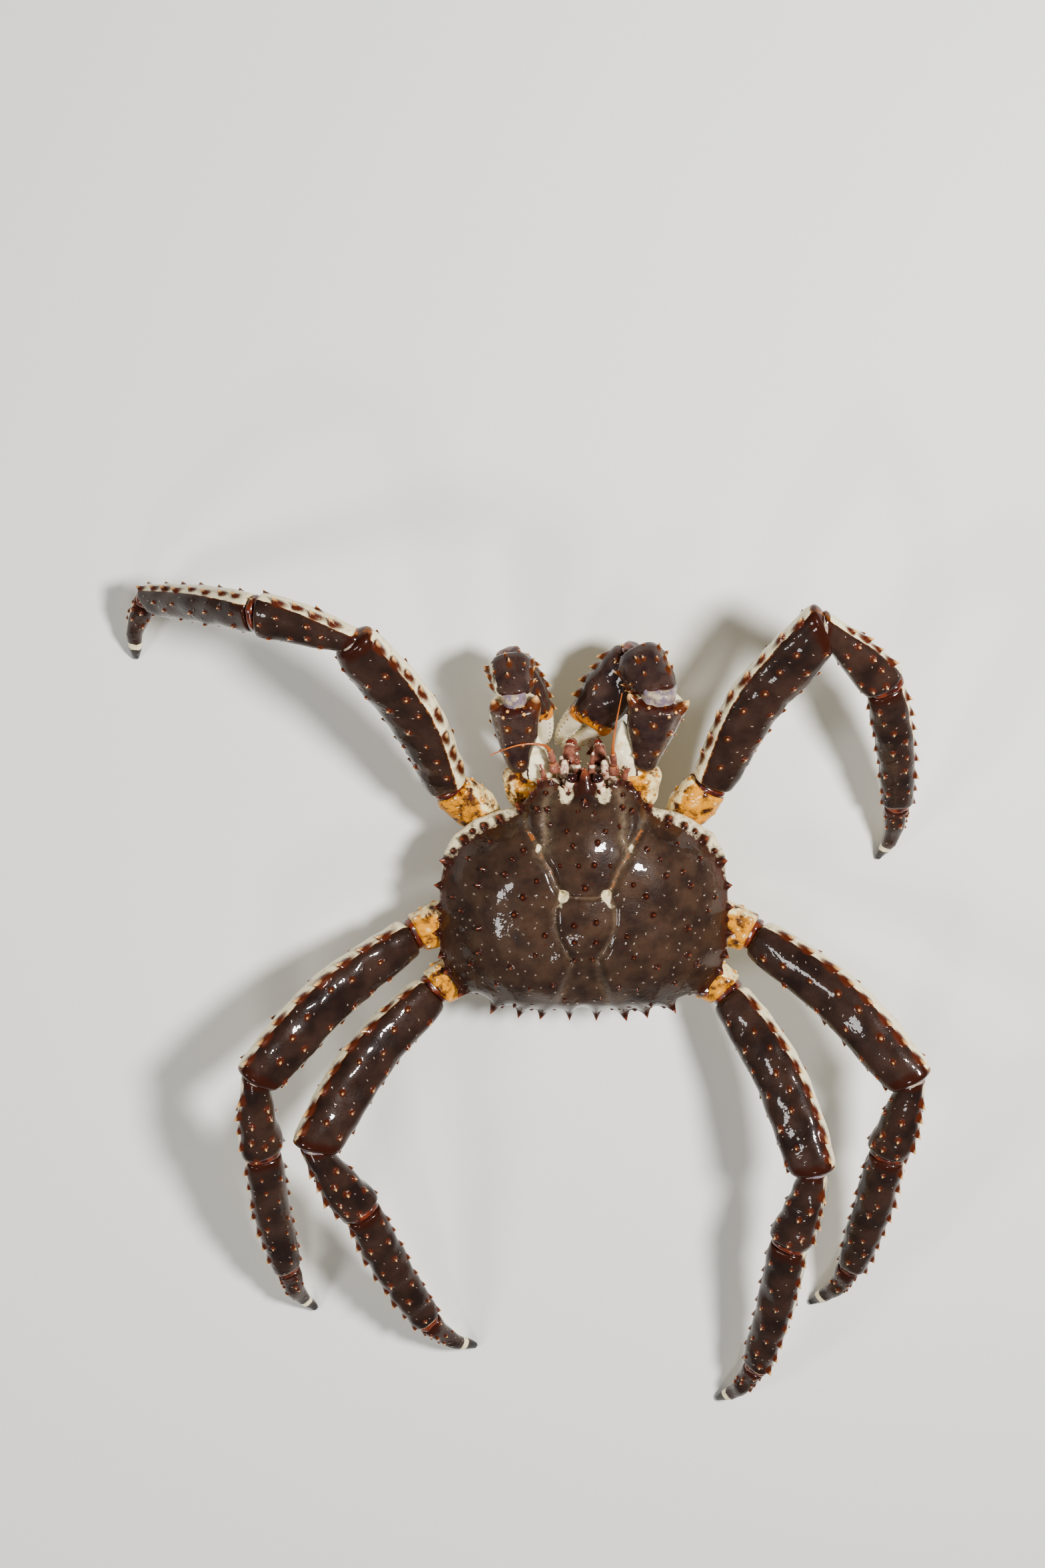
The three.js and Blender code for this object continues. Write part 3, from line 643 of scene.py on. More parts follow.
def edge_reach(turns):
    """How far the edge lies from the middle, then the same without scallops, then its broad form."""
    plan = np.array(mirror(HALF_PLAN), float)
    order = np.argsort(bearing(plan))
    fine = np.linspace(0, 2 * math.pi, FINE_TURNS, endpoint=False)
    reach = np.interp(fine, bearing(plan)[order], np.linalg.norm(plan - MIDDLE, axis=1)[order],
                      period=2 * math.pi)
    soft = sum(np.roll(reach, k) for k in range(-5, 6)) / 11
    cut = soft.copy()
    for (ax, ay, depth), (bx, by, _) in zip(HALF_TEETH, HALF_TEETH[1:]):
        for way in (1, -1):
            start, stop = bearing([(bx * way, by), (ax * way, ay)])[::way]
            share = (fine - start) % (2 * math.pi) / ((stop - start) % (2 * math.pi))
            cut -= depth * np.sin(math.pi * np.clip(share, 0, 1))
    waves = np.fft.rfft(soft)
    broad = np.fft.irfft(waves * np.exp(-(np.arange(len(waves)) / 6.0) ** 2), FINE_TURNS)
    return [np.interp(turns, fine, r, period=2 * math.pi) for r in (cut, soft, broad)]


def margin_level(y):
    """The height of the shell's edge, which rises towards the beak."""
    return MARGIN_LEVEL + BEAK_RISE * smooth(y, 28, 74)


print("straight to the right the edge is", round(float(edge_reach(0)[0]), 1), "mm from the middle")


# %% Lines, spots and hills
def line_distance(points, line):
    """The distance of points in plan to a broken line."""
    best = np.full(points.shape[:-1], np.inf)
    for a, b in zip(np.array(line[:-1], float), np.array(line[1:], float)):
        share = np.clip(((points - a) @ (b - a)) / ((b - a) @ (b - a)), 0, 1)
        best = np.minimum(best, np.linalg.norm(points - a - share[..., None] * (b - a), axis=-1))
    return best


def bell(distance, width):
    """1 in the middle of a spot or line, fading over its width."""
    return np.exp(-(distance / width) ** 2)


def hill(x, y, wide, long_):
    """1 in the middle of an oval, fading over its two half sizes."""
    return np.exp(-(x / wide) ** 2 - (y / long_) ** 2)


print("a spot one width from its middle has", round(float(bell(1, 1)), 2))

# %% Regions of the back
# Hills: middle, half sizes and height. Those off the middle line are mirrored.
HILLS = mirror([
    (0, 44, 20, 27, 5.0), (0, -11, 15, 17, 3.4), (0, -56, 11, 20, -2.5), (50, 20, 24, 22, 4.5),
    (47, -35, 30, 26, 3.6), (33, 59, 9, 10, 3.0),
])
# Grooves: a line, its half width and its depth. Each is mirrored.
DEEPEST = 3.4
GROOVES = [
    ([(39, 57), (33.5, 45), (29, 38.5), (26, 31), (21, 24), (17.5, 15), (14, 9.5)], 2.6, DEEPEST),
    ([(14, 9.5), (7, 7.5), (0, 7.5)], 1.5, 2.2),
    ([(14, 9), (18.5, 0), (18.5, -10), (16, -18), (11.5, -28), (8, -34)], 2.2, 2.2),
    ([(20, 70), (23.5, 60), (24, 50), (22.5, 42), (26, 34)], 2.6, 2.2),
    ([(8, -34), (10, -45), (13, -60), (17, -76)], 3.2, 1.6),
    ([(36, 46.5), (30, 39)], 1.2, 2.0),
]
print(len(HILLS), "hills and", len(GROOVES), "grooves")

# %% [markdown]
# ## Building the shell
# Its rows run from the top of the back to the edge, down the wall, and in under the body. The dome
# falls off slowly at first and steeply near the edge, and the hills and grooves are added to it. They
# fade out at the edge, so that the edge keeps its own line.

# %% The dome
COLUMNS = 280
turns = round_angles(COLUMNS)
reach, unscalloped, broad_reach = edge_reach(turns)
outward = np.stack([np.cos(turns), np.sin(turns)], axis=1)
edge_line = MIDDLE + outward * reach[:, None]
edge_height = margin_level(edge_line[:, 1])

dome_shares = np.linspace(0.012, 1, 80)[:, None]
scalloped = smooth(dome_shares, 0.9, 1.0)
dome_reach = dome_shares * (unscalloped * (1 - scalloped) + reach * scalloped)
dome_plan = MIDDLE + outward[None] * dome_reach[..., None]
top_level = MARGIN_LEVEL + DOME_RISE
broad_shares = np.minimum(dome_reach / broad_reach, 1)
broad_level = MARGIN_LEVEL + BEAK_RISE * smooth(MIDDLE[1] + np.sin(turns) * broad_reach, 20, 66)
dome_height = top_level + (broad_level - top_level) * broad_shares ** 2.5
dome_height += (edge_height - dome_height[-1]) * smooth(dome_shares, 0.82, 1.0)
fade = 1 - dome_shares ** 10
px, y = dome_plan[..., 0], dome_plan[..., 1]
x = np.abs(px)
folded = np.stack([x, y], axis=-1)
for hx, hy, wide, long_, rise in HILLS:
    dome_height = dome_height + fade * rise * hill(px - hx, y - hy, wide, long_)
groove_mark = np.zeros_like(px)
for line, wide, depth in GROOVES:
    away = line_distance(folded, line)
    dome_height = dome_height - fade * depth * bell(away, wide)
    groove_mark = np.maximum(groove_mark, bell(away, wide * 0.8) * min(depth / DEEPEST, 1))
print("highest point of the back:", round(float(dome_height.max()), 1), "mm")

# %% [markdown]
# The wall swells out beside the gills and is tucked in at its foot. Under the body the skin runs in
# flat, because the breast plate covers it.

# %% The wall and the underside of the shell
drops = np.linspace(0.03, 1, 20)[:, None]
swell = WALL_SWELL * smooth(edge_line[:, 1], 2, 36) * (1 - smooth(edge_line[:, 1], 44, 60))
push = swell * np.sin(math.pi * np.minimum(drops + 0.15, 1)) * smooth(drops, -0.02, 0.14)
wall_reach = reach + push - WALL_TUCK * drops ** 2
wall_plan = MIDDLE + outward[None] * wall_reach[..., None]
wall_height = edge_height + (WALL_FOOT - edge_height) * drops
floor_plan = MIDDLE + outward[None] * (wall_reach[-1] * np.array([[0.9], [0.6], [0.2]]))[..., None]
floor_height = np.full(floor_plan.shape[:2], WALL_FOOT)
plan = np.concatenate([dome_plan, wall_plan, floor_plan])
height = np.concatenate([dome_height, wall_height, floor_height])
print("rows:", len(dome_shares), "on the back and", len(drops), "on the wall")

# %% [markdown]
# The marks are painted over the same rows: ash in the grooves, cream where the grooves meet, on the
# notches beside the beak and on the flank in front of the gills, a painted highlight as a small pale
# spot on each gill region, amber in the two slits where the muscles of the jaw are fixed, and a
# painted shade at the rear corners, laid in the black of the horn.

# %% Marks of the back
ribbon = np.clip(line_distance(folded, [(12.7, 10), (15, 2), (17.5, 1)]), 0, 9)
patches = bell(np.hypot(x - 13, y - 8.6), 3.4) + 0.5 * bell(ribbon, 2)
notch = bell(np.hypot(x - 11.5, (y - 68) * 0.8), 5)
# A painted highlight: a small pale spot on each gill region, standing for a glint of light on the wet shell.
# It joins the cream.
gill_painted_highlight = bell(np.hypot(x - 28, (y - 36) * 0.6), 2.2)
cream = np.maximum.reduce([patches, notch * 1.1, gill_painted_highlight * 0.8])
slit = bell(line_distance(folded, [(34.5, 45), (31.5, 40.5)]), 1.2) * 0.8
side_line = bell(line_distance(folded, [(31, 40), (26, 31), (21, 24), (17.5, 15), (14, 9.5)]), 0.9)
side_band = bell(line_distance(folded, [(20, 70), (24, 60), (24, 50), (23, 42), (27, 34)]), 4.5)
side_bloom = hill(y - 30, x - 24, 12, 5)
dome_ash = np.clip(groove_mark * 0.45 + side_band * 0.35 + 0.15 * side_bloom, 0, 1)
# Painted shade: the rear corners of the back are darkened, as if shade lay there.
rear_painted_shade = hill(x - 48, y + 62, 20, 9)
rim = smooth(dome_shares, 0.955, 1.0)
front_flank = smooth(y, 10, 24) * (1 - smooth(y, 52, 62))
side_rim = smooth(y, -60, -40) * (1 - smooth(y, 60, 70))
front_edge = smooth(dome_shares, 0.93, 0.99) * front_flank * 0.55
dome_pale = np.maximum.reduce([cream, rim * (0.45 * side_rim + 0.2 * front_flank), front_edge])
dome_red = np.maximum(smooth(dome_shares, 0.86, 1.0) * 0.7, groove_mark * 0.25)
print("cream on", round(float((dome_pale > 0.5).mean()) * 100, 1), "percent of the back's points")

# %% Marks of the wall, and the whole skin
wall_y = np.broadcast_to(edge_line[:, 1], wall_height.shape)
wall_flank = smooth(wall_y, 8, 20) * (1 - smooth(wall_y, 58, 66))
rear_wall = 1 - smooth(wall_y, -64, -50)
wall_pale = smooth(drops - 0.5 * rear_wall, 0.0, 0.3) * 1.2 + wall_flank * 0.65
wall_pale = np.clip(wall_pale, 0, 1.1 - 0.48 * wall_flank)
# Each mark's values on the back, on the wall and below.
shell_marks = {
    "pale": (dome_pale, wall_pale, 1.0),
    "red": (dome_red, 0.35, 0.0),
    "amber": (np.maximum(slit, side_line * 0.5), 0.0, 0.0),
    "ash": (dome_ash, wall_pale * 0.3, 0.0),
    # On the back, black is the painted shade of the rear corners.
    "black": (rear_painted_shade * 0.4, 0.0, 0.0),
}
zones = [zone.shape for zone in (dome_height, wall_height, floor_height)]
shell_marks = {mark: np.concatenate([np.broadcast_to(v, zone) for v, zone in zip(values, zones)])
               for mark, values in shell_marks.items()}
shell_skin = woven(np.concatenate([plan, height[..., None]], axis=-1), **shell_marks)
roughen(shell_skin, 12, 0.3, seed=3)
print("skin of the shell:", len(shell_skin.points), "points before its spines")

# %% [markdown]
# ## Spines of the shell
# The large spines of the back stand in pairs, in places that every animal of the kind shares. The
# teeth of the edge point outwards. Each is set a little off its place and differs in height. Between
# them lie grains: low warts with a pale top, thicker towards the rear.


# %% Where the spines stand
def dome_point(x, y):
    """A point of the finished back over a place in plan."""
    flat = shell_skin.points[:COLUMNS * len(dome_shares), :2]
    return shell_skin.points[((flat - [x, y]) ** 2).sum(axis=1).argmin()]


# Spines of the back, as x, y and height, on both sides.
BACK_SPINES = [
    (7, 40.5, 3.6), (5.6, 28.7, 3.4), (12, 48, 3), (9.3, 67, 3), (5, 58, 2.4), (38.5, 57, 5.5),
    (23, 59, 3.6), (30, 57, 4), (22, 50, 3), (24, 67, 3), (15, 28, 2.6), (6, -7.5, 4), (6.5, -21, 3.6),
    (5, -32, 3.4), (51, 46, 4), (61, 20.5, 4), (48.5, 20, 4), (37.5, 35, 4), (45, 30, 3), (29, 17, 3.4),
    (65, 10, 4), (37, 7.5, 4.4), (76, -8, 3.4), (42, -5, 4.2), (64, -16.5, 4.4), (24, -16, 3.6),
    (64.5, -33, 3.8), (44, -38, 4.2), (55.5, -52, 3.8), (43, -70, 3), (20, -51.5, 3.6), (70, -42, 3.6),
    (81, 0, 3.2), (30, -30, 3), (33, -55, 3), (72, 24, 3.4), (57, 36, 3.4), (10, -64, 2.6),
]
# Teeth of the edge, as x, y, height and radius.
EDGE_SPINES = [
    (27, 73, 4.5, 2.4), (20, 75, 3, 1.8), (33.5, 66, 3.5, 2), (39, 57.5, 5.5, 3), (51, 48, 5, 2.8),
    (62, 42.5, 4, 2.4), (74, 34, 6, 3), (85, 20.5, 6.5, 3.2), (90, 4, 4.5, 2.6), (91, -10, 4, 2.4),
    (91, -27, 4.5, 2.6), (88, -41, 4.5, 2.6), (85, -52, 4.5, 2.8), (77, -67, 6.5, 3.4),
    (57.5, -78, 5.5, 3.2), (40, -80.5, 5, 3), (26, -82, 6, 3.4), (8, -82, 5.5, 3), (67, -74, 2, 1.8),
    (32.5, -80, 2, 1.6), (81, 27, 2.5, 1.8), (90, -18, 2.2, 1.8), (49, -79, 2, 1.6), (17, -80.5, 2, 1.6),
    (69, 39, 2.4, 1.8),
]
# The beak and its side spines: foot, radius, height and lean.
BEAK = [((0, 77, 71), 7.5, 9, (0, 1.4, 0.1)), ((0, 66, 84), 2.6, 4, (0, 0.8, 0)),
        ((5, 72, 73), 2.4, 5.5, (0.3, 1, 0.3)), ((-5, 72, 73), 2.4, 5.5, (-0.3, 1, 0.3))]
HEART_SPINE = (0, 14.3, 2.3, 3)  # the single spine of the middle line: x, y, radius and height
REAR = -60  # behind this the teeth are a quarter shorter
print(2 * len(BACK_SPINES) + 2 * len(EDGE_SPINES) + len(BEAK) + 1, "spines to raise")

# %% Raising the spines
hx, hy, radius, tall = HEART_SPINE
spines = [spine(dome_point(hx, hy), radius, tall)]
for sx, sy, tall in mirror(BACK_SPINES):
    sx, sy = sx + rng.normal(0, 0.7), sy + rng.normal(0, 0.7)
    lean = np.array([sx, sy - MIDDLE[1], 0]) * 0.004 + [0, 0.12, 0]
    spines.append(spine(dome_point(sx, sy), 0.46 * tall + rng.uniform(0, 0.3), 0.8 * tall, lean, 1.1))
for sx, sy, tall, radius in mirror(EDGE_SPINES):
    way = unit(np.array([sx, sy - MIDDLE[1], 0]))
    tall = tall * rng.uniform(0.7, 0.9) * (0.75 if sy < REAR else 1)
    spines.append(spine((sx, sy, margin_level(sy)), radius * 1.15, tall, way * 0.8, 1.2))
spines += [spine(foot, radius, tall, lean, 1.3) for foot, radius, tall, lean in BEAK]
raise_spines(shell_skin, spines, flare=1.15)
print("with its spines:", len(shell_skin.points), "points")

# %% Grains
GRAINS, GRAIN_GAP, RIM_GAP = 200, 4, 5  # their number, and their least distances in mm
grains = []
while len(grains) < GRAINS:
    gx, gy = rng.uniform(-84, 84), rng.uniform(-78, 60)
    to_rim = edge_reach(bearing([gx, gy]))[0] - math.hypot(gx, gy - MIDDLE[1])
    thinned = rng.uniform() > 0.35 + 0.65 * (gy < 10)
    clear = all(math.hypot(gx - g[0], gy - g[1]) > GRAIN_GAP for g in grains)
    if to_rim > RIM_GAP and clear and not thinned:
        grains.append((gx, gy))
warts = [spine(dome_point(*g), rng.uniform(0.7, 1.2), rng.uniform(0.35, 0.8)) for g in grains]
raise_spines(shell_skin, warts, mark="grain", flare=0.8, finest=0.5)
show("carapace_shell", shell_skin, back_shell, "carapace", round_map=True)
print("carapace:", len(spines), "spines,", len(grains), "grains,", len(shell_skin.faces), "triangles")

# %% [markdown]
# ## Limbs
# Every length of a leg or claw is a closed plate round a slightly bent axis. Its section is a rounded
# box: a broad face above, a narrower front with the cream band, and a paler underside. Its ends lie
# slanted where the limb bends, so that two plates meet all round the joint, and they are drawn in a
# little, so that a groove is left between them for the soft skin.

# %% A smooth line
LINE_POINTS = 160


def through(points):
    """A smooth line through a few points."""
    p = np.array(points, float)
    p = np.concatenate([[2 * p[0] - p[1]], p, [2 * p[-1] - p[-2]]])
    spans = len(p) - 3
    t = np.linspace(0, spans, LINE_POINTS)
    k = np.minimum(t.astype(int), spans - 1)
    u = (t - k)[:, None]
    a, b, c, d = p[k], p[k + 1], p[k + 2], p[k + 3]
    square, cube = 2 * a - 5 * b + 4 * c - d, 3 * b - a - 3 * c + d
    return 0.5 * (2 * b + (c - a) * u + square * u ** 2 + cube * u ** 3)


print("a line through 3 points has", len(through([(0, 0, 0), (1, 0, 0), (2, 1, 0)])), "points")

# %% Sections and places along a plate
PLACES, KERNEL = 241, 27  # sections are read at so many places, and softened over so many of them


def sections(stations, length, at):
    """Half the width and half the depth of a plate along its length, with softened corners."""
    shares, *measures = np.array(stations, float).T
    fine = np.linspace(shares[0], shares[-1], PLACES)
    kernel = np.hanning(KERNEL) / np.hanning(KERNEL).sum()
    padded = [np.pad(np.interp(fine, shares, v), KERNEL // 2, mode="edge") for v in measures]
    return [np.interp(at / length, fine, np.convolve(v, kernel, "valid")) for v in padded]


def places_along(line, stations, cap, step):
    """Where a plate's rings stand: distances, gaps to its ends, middles, ways, and the line's length."""
    gaps = np.linalg.norm(np.diff(line, axis=0), axis=1)
    walked = np.concatenate([[0], np.cumsum(gaps)])
    length = walked[-1]
    first, last = stations[0][0] * length, stations[-1][0] * length
    eased = cap * (1 - np.cos(np.linspace(0, math.pi / 2, 6)))[:-1]
    inner = np.linspace(first + cap, last - cap, max(int((last - first) / step), 6))
    at = np.concatenate([first + eased + 0.02, inner, (last - eased - 0.02)[::-1]])
    inside = np.clip(at, 0, length)
    ways = unit(np.gradient(line, walked, axis=0))
    middle, along = (np.stack([np.interp(inside, walked, row) for row in values.T], axis=1)
                     for values in (line, ways))
    along = unit(along)
    return at, np.minimum(at - first, last - at), middle + along * (at - inside)[:, None], along, length


print("places of a section:", PLACES)


# %% One length of a limb
def bend(values, square):
    """Turns a circle's section into a rounded box. At 2 it stays a circle."""
    return np.sign(values) * np.abs(values) ** (2 / square)


def limb(points, face, leading, stations, cuts=(None, None), columns=56, step=1.6, square=2.5, cap=3.0,
         slant=0.85):
    """A plate along a line. Each station is a share of its length, half its width and half its depth."""
    at, end_gap, middle, along, length = places_along(through(points), stations, cap, step)
    up = unit(np.array(face, float) - along * (along @ np.array(face, float))[:, None])
    lead = np.cross(along, up) * leading

    # Sections: rounded off at both ends, and slid along the plate where a joint cuts it at a slant.
    width, depth = sections(stations, length, at)
    rounding = np.sqrt(np.clip(1 - (1 - np.clip(end_gap / cap, 0, 1)) ** 2, 0.0004, 1))
    width, depth = width * rounding, depth * rounding
    turn = round_angles(columns)
    offset = (lead[:, None] * (width[:, None] * bend(np.cos(turn), square))[..., None]
              + up[:, None] * (depth[:, None] * bend(np.sin(turn), square))[..., None])
    rows = middle[:, None] + offset
    for cut, place in zip(cuts, (0.0, length)):
        if cut is not None:
            hold = 1 - smooth(np.abs(at - place), 0, 1.9 * width.max())
            slide = -(offset @ cut) / (along @ cut)[:, None] * (slant * hold)[:, None]
            rows = rows + along[:, None] * slide[..., None]
    at = at / length
    ones = np.ones((len(at), columns))
    made = woven(rows, front=np.cos(turn) * ones, top=np.sin(turn) * ones, share=at[:, None] * ones)
    made.frame = SimpleNamespace(at=at, middle=middle, along=along, up=up, lead=lead, width=width,
                                 depth=depth, square=square, length=length)
    return made


print("half way to a corner, a boxy section reaches", round(float(bend(math.cos(math.pi / 4), 2.5)), 3))


# %% Spines of a limb
def spot(plate, share, degrees):
    """A point of a plate's skin: a share of its length, and an angle from its front over its face."""
    f = plate.frame
    i = np.abs(f.at - share).argmin()
    c, s = bend(math.cos(math.radians(degrees)), f.square), bend(math.sin(math.radians(degrees)), f.square)
    return f.middle[i] + f.lead[i] * c * f.width[i] + f.up[i] * s * f.depth[i], f.along[i]


def spine_row(plate, degrees, start, stop, count, height, lean=0.9, stretch=2.0, slim=0.5):
    """A row of spines along a plate, no two alike."""
    made = []
    for share in np.linspace(start, stop, count):
        foot, way = spot(plate, share + rng.normal(0, 0.008), degrees + rng.normal(0, 3))
        tall = height * rng.uniform(0.8, 1.15)
        made.append(spine(foot, slim * tall + 0.4, tall, way * lean, stretch))
    return made


def scattered(plate, angles, shares, count, apart, heights, slim=0.6, lean=0.45):
    """Spines strewn over part of a plate, at least so many mm apart."""
    made = []
    for _ in range(count * 12):
        if len(made) == count:
            break
        foot, way = spot(plate, rng.uniform(*shares), rng.uniform(*angles))
        if all(np.linalg.norm(foot - other.foot) > apart for other in made):
            tall = rng.uniform(*heights)
            made.append(spine(foot, slim * tall + 0.35, tall, way * lean, 1.4))
    return made


def grown(plate, rows):
    """All the spines of a plate from a table. An angle alone makes a row, a pair of angles strews them."""
    made = []
    for angle, *values, changes in rows:
        grow = scattered if isinstance(angle, tuple) else spine_row
        made += grow(plate, angle, *values, **changes)
    return made


print("a spine 4 mm high is", 2 * (0.5 * 4 + 0.4), "mm across at its foot")


# %% Paint of a limb
def at_least(surface, mark, values):
    """Raises a mark to the values where it is lower."""
    surface.marks[mark] = np.maximum(surface.marks[mark], values)


def paint_limb(plate, band, back, start_red=0.05, end_red=0.06, start_pale=0.0, end_pale=0.0):
    """Marks of a plate: cream below and in front of a border, red beside it and towards the ends."""
    front, top, share = (plate.marks[k] for k in ("front", "top", "share"))
    border = back + (band * (1.35 - 0.7 * share) - back) * smooth(front, -0.4, 0.5)
    near_end = np.minimum(smooth(share, 0.0, start_red + 0.02), 1 - smooth(share, 0.985 - end_red, 1.0))
    plate.marks["pale"] = smooth(border - top, -0.14, 0.14) * (0.25 + 0.75 * near_end)
    plate.marks["red"] = smooth(border - top, -0.4, 0.0) * 0.5
    at_least(plate, "red", 1 - smooth(share, 0, 3 * start_red))
    at_least(plate, "red", smooth(share, 1 - 3 * end_red, 1))
    if start_pale:
        at_least(plate, "pale", 1 - smooth(share, start_pale * 0.5, start_pale * 1.3))
    if end_pale:
        at_least(plate, "pale", smooth(share, 1 - end_pale * 1.3, 1 - end_pale * 0.5))
    pale = plate.marks["pale"]
    plate.marks["amber"] = np.clip(pale * (1 - pale) * 2.2, 0, 1)


def finish_plate(plate, rows, seed, paint):
    """Paints a plate, makes it uneven and raises the spines of its table and its fine pale dots."""
    paint_limb(plate, **paint)
    roughen(plate, 11, 0.4, seed)
    raise_spines(plate, grown(plate, rows), flare=1.15)
    dots = scattered(plate, (30, 150), (0.06, 0.95), int(plate.frame.length / 5), 4.5, (0.3, 0.5))
    raise_spines(plate, dots, mark="grain", flare=0.8, finest=0.55)


print("a plate is painted, made uneven, and then its spines and dots are raised")

# %% [markdown]
# ## Skins of the joints
# Where two plates meet, a cushion of thin skin fills the groove. It is a short limb of its own, set
# square to the joint. The same cushion serves the legs and the claws.


# %% Joint skin
def joint_skin_piece(name, joint, way, face, leading, half_width, half_depth, finish, length=7.0):
    """The soft skin of a joint: a low cushion between two plates."""
    ends = [joint - way * length / 2, joint + way * length / 2]
    section = [(0, half_width, half_depth), (1, half_width, half_depth)]
    cushion = limb(ends, face, leading, section, columns=36, cap=2.5, step=1.0)
    roughen(cushion, 4, 0.3, 5)
    show(name, cushion, finish)


def mitres(joints):
    """The way across each joint: halfway between the two lengths that meet there."""
    ways = unit(np.diff(joints, axis=0))
    return [None] + [unit(a + b) for a, b in zip(ways, ways[1:])] + [None]


print("the way across a right angle:", mitres([(0, 0, 0), (1, 0, 0), (1, 1, 0)])[1].round(2))

# %% [markdown]
# ## The six walking legs
# The joints are those of the construction, from the root to the tip, in the crab's millimetres. The
# thigh, the merus, is the longest and broadest length. Its front edge carries saw teeth that point
# towards the tip, and its face a few tall warts. The wrist, the carpus, narrows to a neck at the knee.
# The last length, the dactyl, ends in a black horny tip with a small flat that stands on the floor.

# %% Joints and sections of the legs
LEG_JOINTS = {
    "right_1": [(59.0, 43.0, 41.0), (78.0, 67.0, 52.0), (140.0, 178.9, 108.9), (179.9, 139.0, 88.4),
                (195.7, 49.5, 33.8), (187.7, 4.3, -1.6)],
    "left_1": [(-60.0, 43.0, 41.0), (-83.0, 65.0, 52.0), (-138.0, 173.0, 122.0), (-195.0, 187.2, 109.5),
               (-268.2, 179.5, 33.3), (-280.2, 134.8, -1.6)],
    "right_2": [(66.0, -16.0, 39.0), (106.0, -30.0, 50.0), (201.1, -107.0, 104.5), (190.4, -162.4, 84.0),
                (174.7, -261.4, 34.0), (151.8, -301.0, -1.6)],
    "left_2": [(-66.0, -16.0, 39.0), (-106.0, -30.0, 50.0), (-201.8, -106.2, 104.5), (-200.8, -162.6, 84.0),
               (-190.3, -262.3, 34.0), (-174.7, -305.3, -1.6)],
    "right_3": [(60.0, -46.0, 39.0), (91.0, -69.0, 48.0), (143.3, -169.5, 98.4), (130.6, -224.3, 80.7),
                (114.6, -331.7, 34.6), (91.2, -370.6, -1.6)],
    "left_3": [(-60.0, -46.0, 39.0), (-94.0, -67.0, 48.0), (-166.8, -153.8, 98.4), (-139.7, -202.7, 79.7),
               (-99.7, -299.3, 34.3), (-68.6, -332.6, -1.6)],
}
# Stations of each length: the share of its length, half its width and half its depth.
LEG_STATIONS = {
    "ischium": [(-0.1, 9, 8), (0.3, 14, 11), (0.7, 14, 10.5), (1.0, 12.5, 9.5)],
    "merus": [(0.005, 11.5, 9), (0.08, 14, 10.4), (0.45, 16.6, 11.8), (0.8, 16.8, 12.2),
              (0.96, 15.2, 11.4), (1.03, 12, 9.5)],
    "carpus": [(-0.06, 7.5, 7), (0.1, 9, 8.2), (0.5, 12, 10), (0.85, 14, 10.8), (0.99, 13.2, 10)],
    "propodus": [(0.01, 11, 8.8), (0.12, 12.6, 9.4), (0.4, 12.4, 9.2), (0.9, 10.4, 7.8), (0.99, 9, 7)],
    "dactyl": [(0.01, 7.6, 6), (0.15, 7.4, 6), (0.5, 5.6, 4.7), (0.85, 3.4, 3), (0.99, 1.9, 1.9)],
}
# How far each length is bowed forwards, how long its rounded ends are, and how far they follow a slant.
BOWS = {"ischium": 0, "merus": 7.5, "carpus": 1.5, "propodus": 2, "dactyl": 3.5}
ENDS = {"ischium": (3, 0.6), "merus": (5, 0.5), "carpus": (3, 0.5), "propodus": (3, 0.8),
        "dactyl": (1.6, 0.6)}
LENGTHS = list(LEG_STATIONS)
print(len(LEG_JOINTS), "legs of", len(LENGTHS), "lengths")

# %% Spines and paint of the legs
# Rows: an angle from the front over the face, the start and end of the row, its number and height.
# Strewn spines: a range of angles, a range along the length, their number, their distance and heights.
LEG_SPINES = {
    "ischium": [((20, 160), (0.5, 0.95), 3, 8, (1.2, 2.2), {"slim": 1.0}),
                ((-60, 20), (0.5, 0.95), 3, 8, (1.2, 2.2), {"slim": 1.0})],
    "merus": [(14, 0.16, 0.97, 8, 5.6, {"lean": 1.3, "stretch": 2.6}),
              ((60, 140), (0.12, 0.95), 13, 13, (1.8, 3.2), {}),
              (172, 0.25, 0.95, 6, 3, {}), (-40, 0.3, 0.95, 4, 2.5, {})],
    "carpus": [(10, 0.22, 0.97, 5, 4.8, {}), ((55, 145), (0.2, 0.95), 8, 7.5, (1.8, 3), {}),
               (175, 0.45, 0.9, 2, 2.4, {}), (-30, 0.4, 0.95, 2, 3, {})],
    "propodus": [(10, 0.1, 0.96, 8, 4.2, {"lean": 1.0}), ((55, 130), (0.1, 0.93), 11, 10, (1.4, 2.6), {}),
                 (165, 0.12, 0.95, 8, 3, {}), (-35, 0.15, 0.95, 6, 2.6, {})],
    "dactyl": [((20, 160), (0.06, 0.4), 6, 4.5, (1.2, 2.2), {}), (15, 0.1, 0.35, 3, 2, {})],
}
LEG_PAINT = {
    "ischium": dict(band=0.75, back=0.4, start_pale=0.35, end_red=0.07),
    "merus": dict(band=0.32, back=-0.3, start_red=0.015, end_red=0.03),
    "carpus": dict(band=0.2, back=-0.2, end_red=0.02),
    "propodus": dict(band=0.16, back=-0.3, end_red=0.02, end_pale=0.035),
    "dactyl": dict(band=0.25, back=-0.05, start_red=0.1, end_red=0.001),
}
FIRST_LEG_CREAM = 0.28  # the cream front of the first legs reaches so much higher
FACE_TURN = 0.45
TIP_LEVEL = 1.9  # the middle of a leg tip lies this high
FLAT_DEPTH, FLAT_LEVEL = 0.35, 0.05  # so much of a tip is pressed flat, just above the floor
# Skins: the joint, half the width and half the depth, and the finish.
LEG_SKINS = [(1, 10.5, 8.2, dark_skin), (2, 8.5, 8.5, joint_skin), (3, 11, 8.6, dark_skin),
             (4, 7.2, 5.8, dark_skin)]
print("rows of spines on a leg:", sum(len(rows) for rows in LEG_SPINES.values()))


